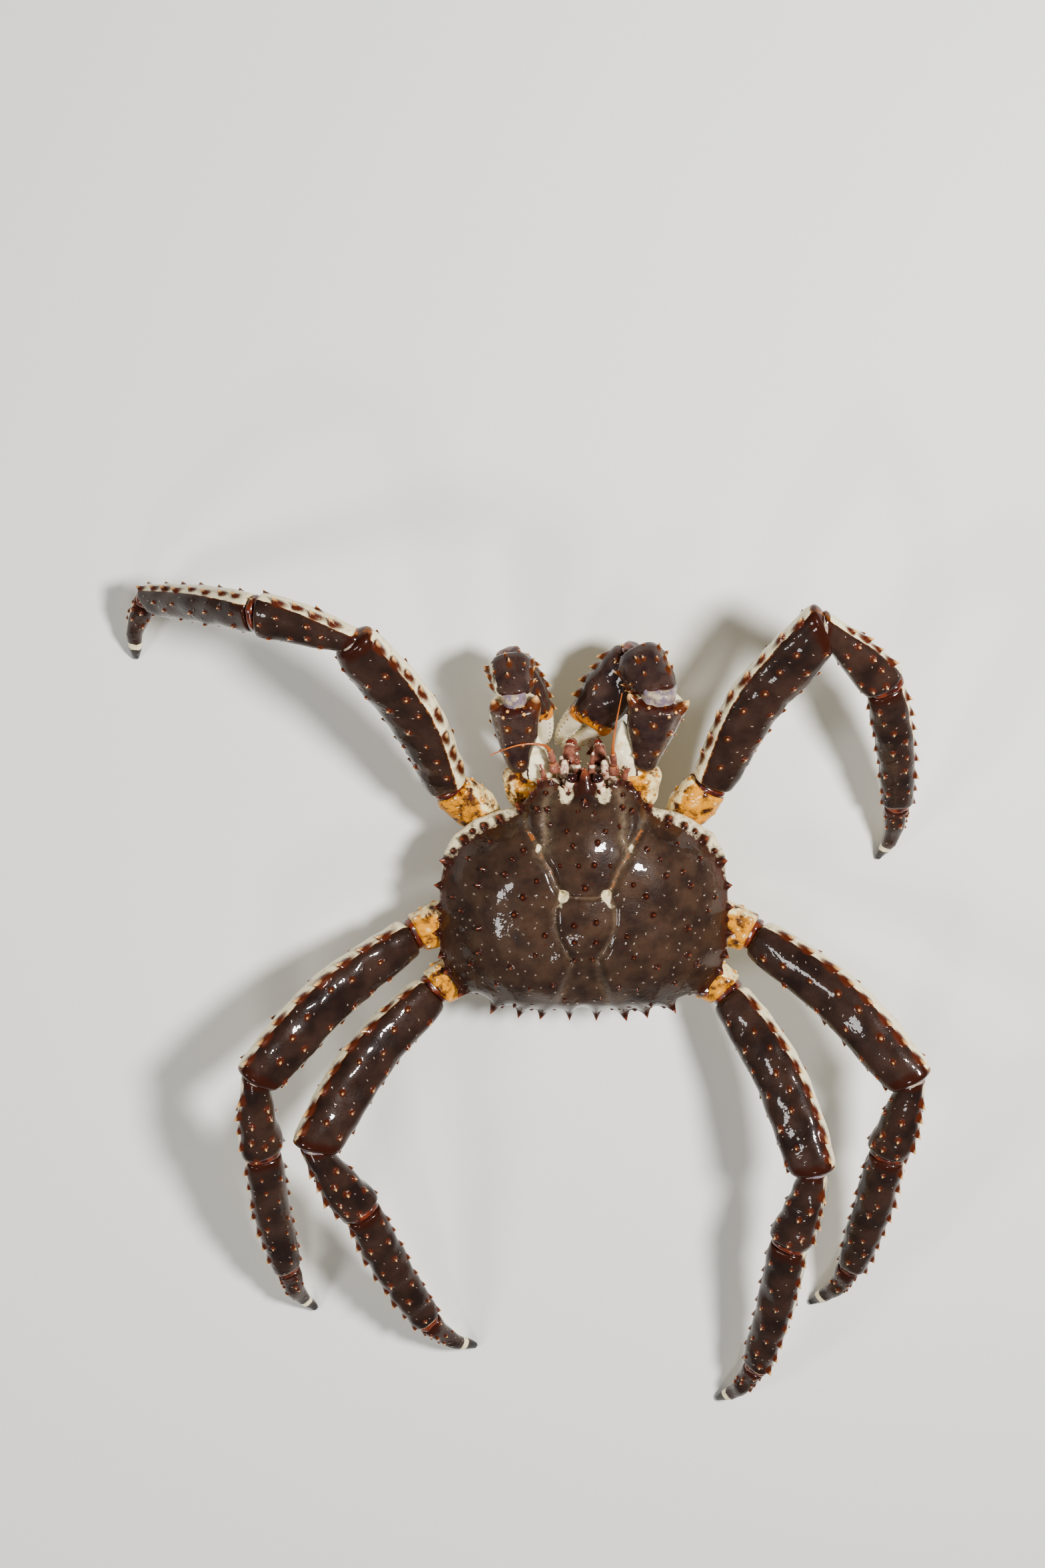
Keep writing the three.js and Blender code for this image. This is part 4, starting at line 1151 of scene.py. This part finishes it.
# %% Face and tip of a leg
def leg_face(joints):
    """The way a leg's face looks: between straight up and square to the plane the leg bends in."""
    square_on = unit(np.cross(joints[2] - joints[1], joints[3] - joints[2]))
    square_on = square_on * math.copysign(1, square_on[2])
    return unit(square_on * (1 - FACE_TURN) + np.array([0, 0, 1]) * FACE_TURN)


def finish_tip(plate):
    """Black horn with a cream ring above it, and a small flat that meets the floor."""
    share = plate.marks["share"]
    tip = smooth(share, 0.8, 0.86)
    for mark in ("pale", "horn"):
        plate.marks[mark] = plate.marks[mark] * (1 - tip)
    at_least(plate, "pale", bell(share - 0.74, 0.05))
    plate.marks["black"] = tip
    drop = plate.points[:, 2].min() - FLAT_LEVEL + FLAT_DEPTH
    plate.points[:, 2] -= drop * smooth(share, 0.6, 0.97)
    plate.points[:, 2] = np.maximum(plate.points[:, 2], FLAT_LEVEL)


print("the tips stand", FLAT_LEVEL, "mm above the floor")

# %% Legs
triangles = 0
for number, (leg, joints) in enumerate(LEG_JOINTS.items()):
    joints = np.array(joints)
    leading = -1 if joints[0, 0] > 0 else 1
    face, across = leg_face(joints), mitres(joints)
    for i, part in enumerate(LENGTHS):
        a, b = joints[i], joints[i + 1].copy()
        if part == "dactyl":
            b[2] = TIP_LEVEL
        bow = unit(np.cross(b - a, face)) * leading * BOWS[part]
        cap, slant = ENDS[part]
        plate = limb([a, (a + b) / 2 + bow, b], face, leading, LEG_STATIONS[part], across[i:i + 2], cap=cap,
                     slant=slant)
        paint = dict(LEG_PAINT[part])
        if leg.endswith("1") and part != "ischium":
            paint["band"] += FIRST_LEG_CREAM
        finish_plate(plate, LEG_SPINES[part], 20 + 10 * number + i, paint)
        finish, slot = leg_shell, "shell_brown"
        if part == "ischium":
            finish, slot = root_shell, "shell_cream"
            at_least(plate, "amber", 0.6)
            plate.marks["pale"] = 0.26 + plate.marks["pale"] * 0.3
        if part == "dactyl":
            finish_tip(plate)
        show(f"{leg}_{part}_shell", plate, finish, f"leg_{leg}_{part}")
        triangles += len(plate.faces)
    for k, wide, deep, skin in LEG_SKINS:
        joint_skin_piece(f"{leg}_skin_{k}", joints[k], across[k], face, leading, wide, deep, skin)
print("legs:", triangles, "triangles")

# %% [markdown]
# ## The claws
# The right claw is the heavy one that crushes, the left one cuts. Both are folded down in front of the
# mouth. Their inner sides, which rub against each other, are bare ivory. At the knee the skin lies
# open above, milky and lilac, between two spiny collars. The fingers close on blunt chalky teeth, and
# tufts of stiff brown hairs stand in rows along them.

# %% Joints and sections of the claws
CLAW_JOINTS = {
    "right": [(29, 50, 38), (36, 78, 49), (44, 131, 80), (31, 151, 54), (4, 104, 33), (-15, 82, 12)],
    "left": [(-32, 50, 38), (-40, 77, 49), (-43, 128, 77), (-46, 149, 56), (-32, 106, 33), (-27, 79, 13)],
}
SIDES = {"right": 1, "left": -1}
GIRTHS = {"right": 1.27, "left": 1.15}  # how much stouter than the stations each claw is
CLAW_STATIONS = {
    "ischium": [(-0.1, 8, 8), (0.4, 11.5, 10), (0.98, 10, 9)],
    "merus": [(0.0, 4, 6), (0.12, 7, 8.5), (0.5, 11.2, 9.5), (0.85, 13.6, 10.4), (0.97, 13.2, 9.8)],
    "carpus": [(0.02, 9, 8), (0.3, 11.5, 10), (0.75, 12.3, 10.5), (0.98, 9.5, 8.5)],
    "palm": [(0.02, 9, 7.5), (0.2, 12, 9.5), (0.6, 13.2, 10.3), (1.02, 10.5, 8.2)],
}
FINGER_STATIONS = [(-0.15, 5.4, 5.4), (0.2, 5.2, 5), (0.6, 3.8, 3.9), (0.9, 2, 2.1), (1.0, 1.2, 1.3)]
FINGER_SPREAD, TIP_SPREAD, FINGER_BOW = 6.2, 1.8, 1.6
UP = np.array([0, 0, 1.0])


def stouter(stations, girth):
    """Stations with their widths and depths grown by the girth."""
    return [(share, wide * girth, deep * girth) for share, wide, deep in stations]


right_palm = stouter(CLAW_STATIONS["palm"], GIRTHS["right"])
print("the right palm is", round(2 * max(wide for _, wide, _ in right_palm), 1), "mm wide")

# %% Spines and paint of the claws
CLAW_SPINES = {
    "ischium": [((10, 170), (0.35, 0.95), 4, 7, (1.2, 2.2), {"slim": 1.0})],
    "merus": [((50, 130), (0.2, 0.82), 6, 12, (1.8, 2.4), {"slim": 0.85, "lean": 0.2}),
              (12, 0.93, 0.95, 1, 6, {"lean": 0.8, "slim": 0.75}),
              (168, 0.93, 0.95, 1, 6, {"lean": 0.8, "slim": 0.75}),
              (172, 0.3, 0.75, 3, 2, {}), ((40, 140), (0.9, 0.96), 5, 4, (0.8, 1.3), {})],
    "carpus": [(22, 0.2, 0.95, 4, 4.4, {"slim": 0.4}), (90, 0.6, 0.98, 2, 3.6, {"slim": 0.4}),
               (158, 0.2, 0.95, 4, 4.4, {"slim": 0.4}),
               ((45, 135), (0.25, 0.9), 5, 7, (1.5, 2.4), {"slim": 0.5}),
               ((-60, 10), (0.2, 0.95), 3, 7, (2.5, 3.6), {"slim": 0.45}),
               ((170, 240), (0.2, 0.95), 3, 7, (2.5, 3.6), {"slim": 0.45})],
    "palm": [(178, 0.04, 0.95, 6, 5, {"lean": 0.8, "stretch": 2.6, "slim": 0.4}),
             (125, 0.1, 0.5, 2, 2.6, {"slim": 0.4}), (8, 0.1, 0.9, 4, 3.2, {"lean": 0.8}),
             ((30, 150), (0.84, 0.98), 5, 4.5, (1.6, 2.6), {"slim": 0.5})],
}
CLAW_PAINT = {
    "ischium": dict(band=0.95, back=0.95, end_red=0.02),
    "merus": dict(band=-0.2, back=-0.2, start_red=0.02, end_red=0.05),
    "carpus": dict(band=-0.1, back=-0.1, start_red=0.08, end_red=0.04),
    "palm": dict(band=-0.2, back=-0.3, end_red=0.02),
}
print("rows of spines on a claw:", sum(len(rows) for rows in CLAW_SPINES.values()))

# %% The arm, length by length
COLLAR_HEIGHT = 0.9


def detail_claw(side, part, plate):
    """What sets the lengths of a claw apart from those of a leg."""
    front, share = plate.marks["front"], plate.marks["share"]
    if part == "ischium":
        at_least(plate, "amber", 0.62)
        plate.marks["pale"] = 0.33 + plate.marks["pale"] * 0.2
    if part == "merus":
        # Cream corners beside the knee, a stippled grey band along the outer edge, an amber root, and a
        # raised collar round the end.
        at_least(plate, "pale", smooth(np.abs(front), 0.8, 0.97) * smooth(share, 0.6, 0.85) * 0.75)
        plate.marks["ash"] = 0.9 * bell(front + 0.72, 0.16) * smooth(share, 0.15, 0.3)
        at_least(plate, "amber", 0.9 - smooth(share, 0.0, 0.16))
        collar = smooth(share, 0.85, 0.91) * (1 - smooth(share, 0.96, 1.0))
        collar = collar * smooth(plate.marks["top"], 0, 0.5)
        plate.points = plate.points + normals(plate) * (collar * COLLAR_HEIGHT)[:, None]
    if part == "carpus" and side == "left":
        at_least(plate, "pale", smooth(-front, 0.45, 0.85) * 0.6)
    if part == "palm":
        at_least(plate, "amber", smooth(share, 0.82, 0.96))


print("the collar of the knee stands", COLLAR_HEIGHT, "mm high")

# %% Fingers
TEETH = 8
TUFT_SHARES, TUFT_ANGLES = np.linspace(0.12, 0.85, 7), (-62, -28, 22, 55)


def finger(knuckle, tip, side_way, leading, inner, girth, seed):
    """A finger: ivory, bowed outwards, with teeth at the inner angle and hair tufts on the other side."""
    start = knuckle + side_way * FINGER_SPREAD * girth
    stop = tip + side_way * TIP_SPREAD
    bulge = (start + stop) / 2 + side_way * FINGER_BOW
    made = limb([start, bulge, stop], UP, leading, stouter(FINGER_STATIONS, girth), columns=40, cap=1.2,
                step=1.1)
    roughen(made, 6, 0.2, seed)
    teeth = [spine(spot(made, share, inner)[0], 1.7, 1.5) for share in np.linspace(0.2, 0.88, TEETH)]
    raise_spines(made, teeth, flare=0.6)
    tufts = [spot(made, share, 180 - inner + angle) for share in TUFT_SHARES for angle in TUFT_ANGLES]
    raise_spines(made, [spine(p, 0.75, 0.9, w * 1.2, 1.8) for p, w in tufts], mark="grain", finest=0.45)
    share = made.marks["share"]
    made.marks["pale"] = smooth(share, -0.12, 0.12) * 0.9
    made.marks["amber"] = (1 - smooth(share, 0.0, 0.3)) * 0.8
    made.marks["red"] = 1 - smooth(share, -0.1, 0.1)
    return made


print("a finger has", TEETH, "teeth and", len(TUFT_SHARES) * len(TUFT_ANGLES), "tufts")

# %% [markdown]
# Beside the mouth each claw's arm carries a bare ivory flange, a leaf that ends in a point. A thin dark
# line runs along it. The knee has two cushions of skin, the narrower one standing higher, so that the
# skin looks folded.

# %% The ivory flange
FLANGE_TIP = {"right": (23, 111, 66), "left": (-31, 104, 62)}
FLANGE_STATIONS = [(0, 12, 6), (0.35, 11, 6), (0.75, 6, 4), (1.0, 0.8, 0.8)]


def flange_of(side, sign, leading):
    """The bare inner flange of the claw's arm, beside the mouth."""
    tip, foot = np.array(FLANGE_TIP[side]), np.array([25 * sign, 64, 45.0])
    middle = foot * 0.45 + tip * 0.55 + [1.5 * sign, 0, 2]
    flange = limb([foot, middle, tip], UP, leading, FLANGE_STATIONS, columns=40, cap=1.5)
    front, share = flange.marks["front"], flange.marks["share"]
    dark_line = 0.9 * bell(front + 0.55, 0.09)
    flange.marks["pale"] = np.clip(1 - dark_line, 0, 1) * (smooth(share, 0.0, 0.3) * 0.5 + 0.5)
    flange.marks["amber"] = 1 - smooth(share, 0.0, 0.45)
    roughen(flange, 7, 0.4, 140)
    return flange


print("flanges for", list(FLANGE_TIP))

# %% Claws
KNEE_HALF_WIDTH = {"right": 10.6, "left": 7.6}
for side, joints in CLAW_JOINTS.items():
    joints, girth, sign = np.array(joints, float), GIRTHS[side], SIDES[side]
    leading = -sign
    across = mitres(joints)
    for i, (part, stations) in enumerate(CLAW_STATIONS.items()):
        a, b = joints[i], joints[i + 1]
        cut = (across[i] if part != "palm" else None, across[i + 1] if part == "ischium" else None)
        plate = limb([a, (a + b) / 2, b], UP, leading, stouter(stations, girth), cut, columns=60, step=1.3,
                     square=2.3, cap=4)
        seed = 110 + 10 * (side == "left") + i
        finish_plate(plate, CLAW_SPINES[part], seed, CLAW_PAINT[part])
        detail_claw(side, part, plate)
        finish, slot = (root_shell, "shell_cream") if part == "ischium" else (claw_shell, "shell_brown")
        show(f"claw_{side}_{part}_shell", plate, finish, f"claw_{side}_{part}")
    hand_way, knee_way = unit(joints[4] - joints[3]), unit(joints[2] - joints[1])
    side_way = unit(np.cross(hand_way, UP)) * leading
    closing = finger(joints[4], joints[5], side_way, leading, 180, girth, 131)
    fixed = finger(joints[4], joints[5], -side_way, leading, 0, girth, 132)
    show(f"claw_{side}_fixed_finger", fixed, tooth_shell)
    show(f"claw_{side}_closing_finger", closing, tooth_shell, f"claw_{side}_finger")
    wide = KNEE_HALF_WIDTH[side]
    # Each skin: its name, place, way, half width, half depth, finish and length.
    skins = [("knee_skin", joints[2] + [0, 1, -1.5], knee_way, wide, 8 * girth, joint_skin, 15),
             ("knee_fold", joints[2] + [0, 1.5, -0.6], knee_way, wide * 0.45, 8 * girth, joint_skin, 12),
             ("wrist_skin", joints[3], hand_way, 7 * girth, 6.5 * girth, dark_skin, 7)]
    for name, place, way, *measures in skins:
        joint_skin_piece(f"claw_{side}_{name}", place, way, UP, leading, *measures)
    show(f"claw_{side}_ivory_flange", flange_of(side, sign, leading), claw_shell)
print("claws:", list(CLAW_JOINTS))

# %% [markdown]
# ## The underside
# Below, the shell is bare and cream, as the sun never reaches it. The breast plate is grooved between
# the roots of the legs. The tail is folded under it. In a male it is a narrow flap of soft, lumpy
# plates.

# %% Breast plate
BREAST_HALF_WIDTH, BREAST_HALF_LENGTH, BREAST_COLUMNS = 59.5, 55.5, 96
# Rings of the plate from its upper to its lower middle: their share of its size, and their level.
BREAST_RINGS = [(0.15, 37), (0.5, 37), (0.8, 37), (0.97, 36.6), (1.0, 35.5), (1.0, 31), (0.97, 27),
                (0.93, 24.5), (0.87, 23.4), (0.75, 23), (0.6, 23), (0.45, 23), (0.3, 23), (0.15, 23)]
round_turns = round_angles(BREAST_COLUMNS)
breast_rows = []
for share, level in BREAST_RINGS:
    plan_x = np.cos(round_turns) * BREAST_HALF_WIDTH * share
    plan_y = np.sin(round_turns) * BREAST_HALF_LENGTH * share
    plan_x = plan_x * (1 - 0.15 * smooth(plan_y, 0, 40))
    groove = np.exp(-((np.sin(4 * round_turns + 0.4) / 0.3) ** 2)) * 1.6 * (level < 28)
    groove = groove * smooth(share, 0.3, 0.6)
    breast_rows.append(np.stack([plan_x, plan_y + BREAST_MIDDLE, level + groove], axis=1))
all_over = np.ones((len(BREAST_RINGS), BREAST_COLUMNS))
breast = woven(np.array(breast_rows), pale=all_over, amber=all_over * 0.15)
roughen(breast, 12, 0.5, 150)
show("breast_plate_shell", breast, belly_shell, "breast_plate")
print("breast plate:", len(breast.faces), "triangles")

# %% Tail
TAIL_LINE = [(0, -58, 31), (0, -63, 25), (0, -56, 19.5), (0, -30, 18.5), (0, 0, 18.5), (0, 28, 19)]
TAIL_STATIONS = [(0, 33, 3.2), (0.1, 41, 3.8), (0.25, 46, 3.8), (0.42, 46, 3.8), (0.6, 41, 3.8),
                 (0.76, 30, 3.6), (0.9, 18, 3.2), (0.98, 9, 2.4)]
SEAM_DEPTH = 1.1
tail = limb(TAIL_LINE, (0, -0.35, -1), 1, TAIL_STATIONS, columns=120, step=1.2, square=4, cap=2)
share, front = tail.marks["share"], tail.marks["front"]
seams = bell(np.sin(share * 6.5 * math.pi), 0.22) + 0.7 * bell(np.abs(front) - 0.45, 0.05)
out = normals(tail)
below = out[:, 2] < 0.3
tail.points = tail.points - out * (SEAM_DEPTH * np.clip(seams, 0, 1) * below)[:, None]
tail.marks["pale"] = np.clip(1 - 0.25 * seams, 0, 1)
tail.marks["amber"] = np.clip(seams * 0.8, 0, 1)
roughen(tail, 6, 0.5, 151)
show("tail_shell", tail, belly_shell, "tail")
print("tail:", len(tail.faces), "triangles")

# %% [markdown]
# ## The head
# Beside the beak stand the eyes on short stalks, each with a dark cornea like a wet berry. Outside
# them the feelers grow from jointed, spiny stems. Below, the outer jaws close over the mouth like a
# pair of small hairy legs. All of these are thin, pinkish brown plates with many small spines, so one
# function makes them all, and each is given by three points, its sections and its number of spines.


# %% Small plates of the head
def small_plate(points, stations, spines, tall=(1.2, 2.4), pale=0.1):
    """One small plate of the head, with a few spines."""
    made = limb(points, UP, 1, stations, columns=28, step=0.7, square=2.1, cap=1.2)
    raise_spines(made, scattered(made, (0, 360), (0.2, 0.95), spines, 2.2, tall, slim=0.3, lean=0.9),
                 flare=0.8, finest=0.4)
    share = made.marks["share"]
    made.marks["pale"] = np.clip(pale + 0.2 + 0.4 * smooth(share, 0.75, 1.0), 0, 1)
    made.marks["red"] = 1 - smooth(share, 0.0, 0.35)
    made.marks["amber"] = smooth(share, 0.7, 1.0) * 0.6
    return made


# Of the right half: the line of a plate, its stations, its number of spines, and what else differs.
EYE_STALK = ([(11, 66, 68), (9.6, 72, 71.5), (8.4, 76, 73.5)], [(0, 3.2, 3), (0.6, 2.6, 2.6), (1, 2.9, 2.9)],
             3, {"pale": 0.35})
CORNEA = ([(8.9, 74.5, 72.6), (8, 77.5, 74), (7.2, 80.2, 75)],
          [(0, 3.1, 3.1), (0.5, 3.5, 3.5), (1, 2.6, 2.6)])
FEELER_ROOT = ([(18, 62, 58), (18.5, 68, 61), (18.5, 73, 63)], [(0, 4.6, 4), (0.6, 5, 4.2), (1, 4, 3.6)],
               7, {"tall": (1.5, 3)})
FEELER_SCALE = ([(23, 68, 60), (25, 76, 63), (26, 83, 65)], [(0, 2.6, 2), (0.6, 1.7, 1.4), (1, 0.5, 0.5)],
                7, {"tall": (1.5, 3)})
JAW = [
    ([(8, 60, 47), (9, 70, 52), (9, 80, 54)], [(0, 5, 3.6), (0.5, 5.2, 4), (1, 4.2, 3.6)], 5, {}),
    ([(9, 80, 54), (9.4, 86, 51.5), (9, 91, 46)], [(0, 3.8, 3.4), (0.5, 4.2, 3.6), (1, 3.4, 3)], 4, {}),
    ([(9, 91, 46), (7.5, 90.5, 39), (6, 87, 34)], [(0, 3.2, 2.8), (0.5, 3.4, 3), (1, 2.6, 2.4)], 4, {}),
    ([(6, 87, 34), (5, 83.5, 31.5), (4, 80, 31)], [(0, 2.4, 2), (1, 1.2, 1.1)], 5, {"tall": (2, 3)}),
    ([(13.5, 62, 52), (15, 76, 57), (14, 87, 58)], [(0, 3.2, 2.6), (0.6, 2.4, 2), (1, 1, 1)], 5,
     {"pale": 0.35}),
    ([(3.6, 70, 62), (4, 78, 65), (4.4, 84, 67)], [(0, 2.2, 2.2), (0.5, 2.4, 2.2), (1, 1.8, 1.7)], 4, {}),
    ([(4.4, 84, 67), (4.6, 89, 69.5), (5, 93, 73)], [(0, 1.6, 1.6), (0.7, 1.2, 1.2), (1, 0.7, 0.7)], 3, {}),
    ([(12.5, 74, 62), (12.5, 80, 64), (12, 86, 63)], [(0, 2.6, 2.4), (0.6, 2.9, 2.4), (1, 1.6, 1.4)], 8,
     {"pale": 0.3}),
]
print("small plates of a jaw:", len(JAW))

# %% Lines of the feelers
# The feelers lie differently on the two sides. Their joints are places on a line of 160 points.
FEELER_LINES = {
    "right": [(18, 66, 60), (18, 82, 66), (17, 97, 74), (19, 115, 80), (22, 133, 84)],
    "left": [(-18, 66, 60), (-19, 84, 66), (-24, 97, 73), (-40, 99, 78), (-58, 93, 80)],
}
FEELER_JOINTS = [([26, 34, 42], [(0, 3.2, 3), (0.6, 3.4, 3), (1, 2.8, 2.6)], 4),
                 ([42, 55, 68], [(0, 2, 1.9), (0.5, 2.1, 2), (1, 1.9, 1.8)], 2)]
WHIP_PLACES = [66, 80, 100, 120, 140, 159]
WHIP_STATIONS = [(0, 1.2, 1.2), (0.15, 0.8, 0.8), (0.6, 0.5, 0.5), (1, 0.3, 0.3)]
WHIP_RING = 2.2  # mm from one ring of the feeler's whip to the next
print("the whip of a feeler takes", WHIP_PLACES[-1] - WHIP_PLACES[0], "of its line's places")


# %% Eyes, feelers and jaws
def sided(sign, points):
    """Points of the right half, on either side."""
    return [(x * sign, y, z) for x, y, z in points]


def small(sign, table):
    """A small plate from the tables, on either side."""
    points, stations, spines, changes = table
    return small_plate(sided(sign, points), stations, spines, **changes)


for side, sign in SIDES.items():
    show(f"eye_{side}_stalk", small(sign, EYE_STALK), mouth_shell)
    points, stations = CORNEA
    cornea = limb(sided(sign, points), UP, 1, stations, columns=40, step=0.5, square=2, cap=2.4)
    show(f"eye_{side}_cornea", cornea, eye_gloss, f"eye_{side}")

    line = through(FEELER_LINES[side])
    stems = [small(sign, FEELER_ROOT)]
    for places, stations, count in FEELER_JOINTS:
        stems.append(small_plate(line[places], stations, count, pale=-0.3))
    stems.append(small(sign, FEELER_SCALE))
    show(f"feeler_{side}_stem", merged(stems), mouth_shell)
    whip = limb(line[WHIP_PLACES], UP, 1, WHIP_STATIONS, columns=16, step=0.8, square=2, cap=0.4)
    rings = np.sin(whip.marks["share"] * whip.frame.length * 2 * math.pi / WHIP_RING)
    whip.points = whip.points + normals(whip) * (rings * 0.05)[:, None]
    show(f"feeler_{side}_whip", whip, feeler_horn, f"feeler_{side}")

    jaw = merged([small(sign, table) for table in JAW])
    show(f"jaw_{side}_plates", jaw, mouth_shell, f"jaw_{side}")
print("head: eyes, feelers and jaws on both sides")

# %% [markdown]
# ## The end

# %% Finish
print("the end")
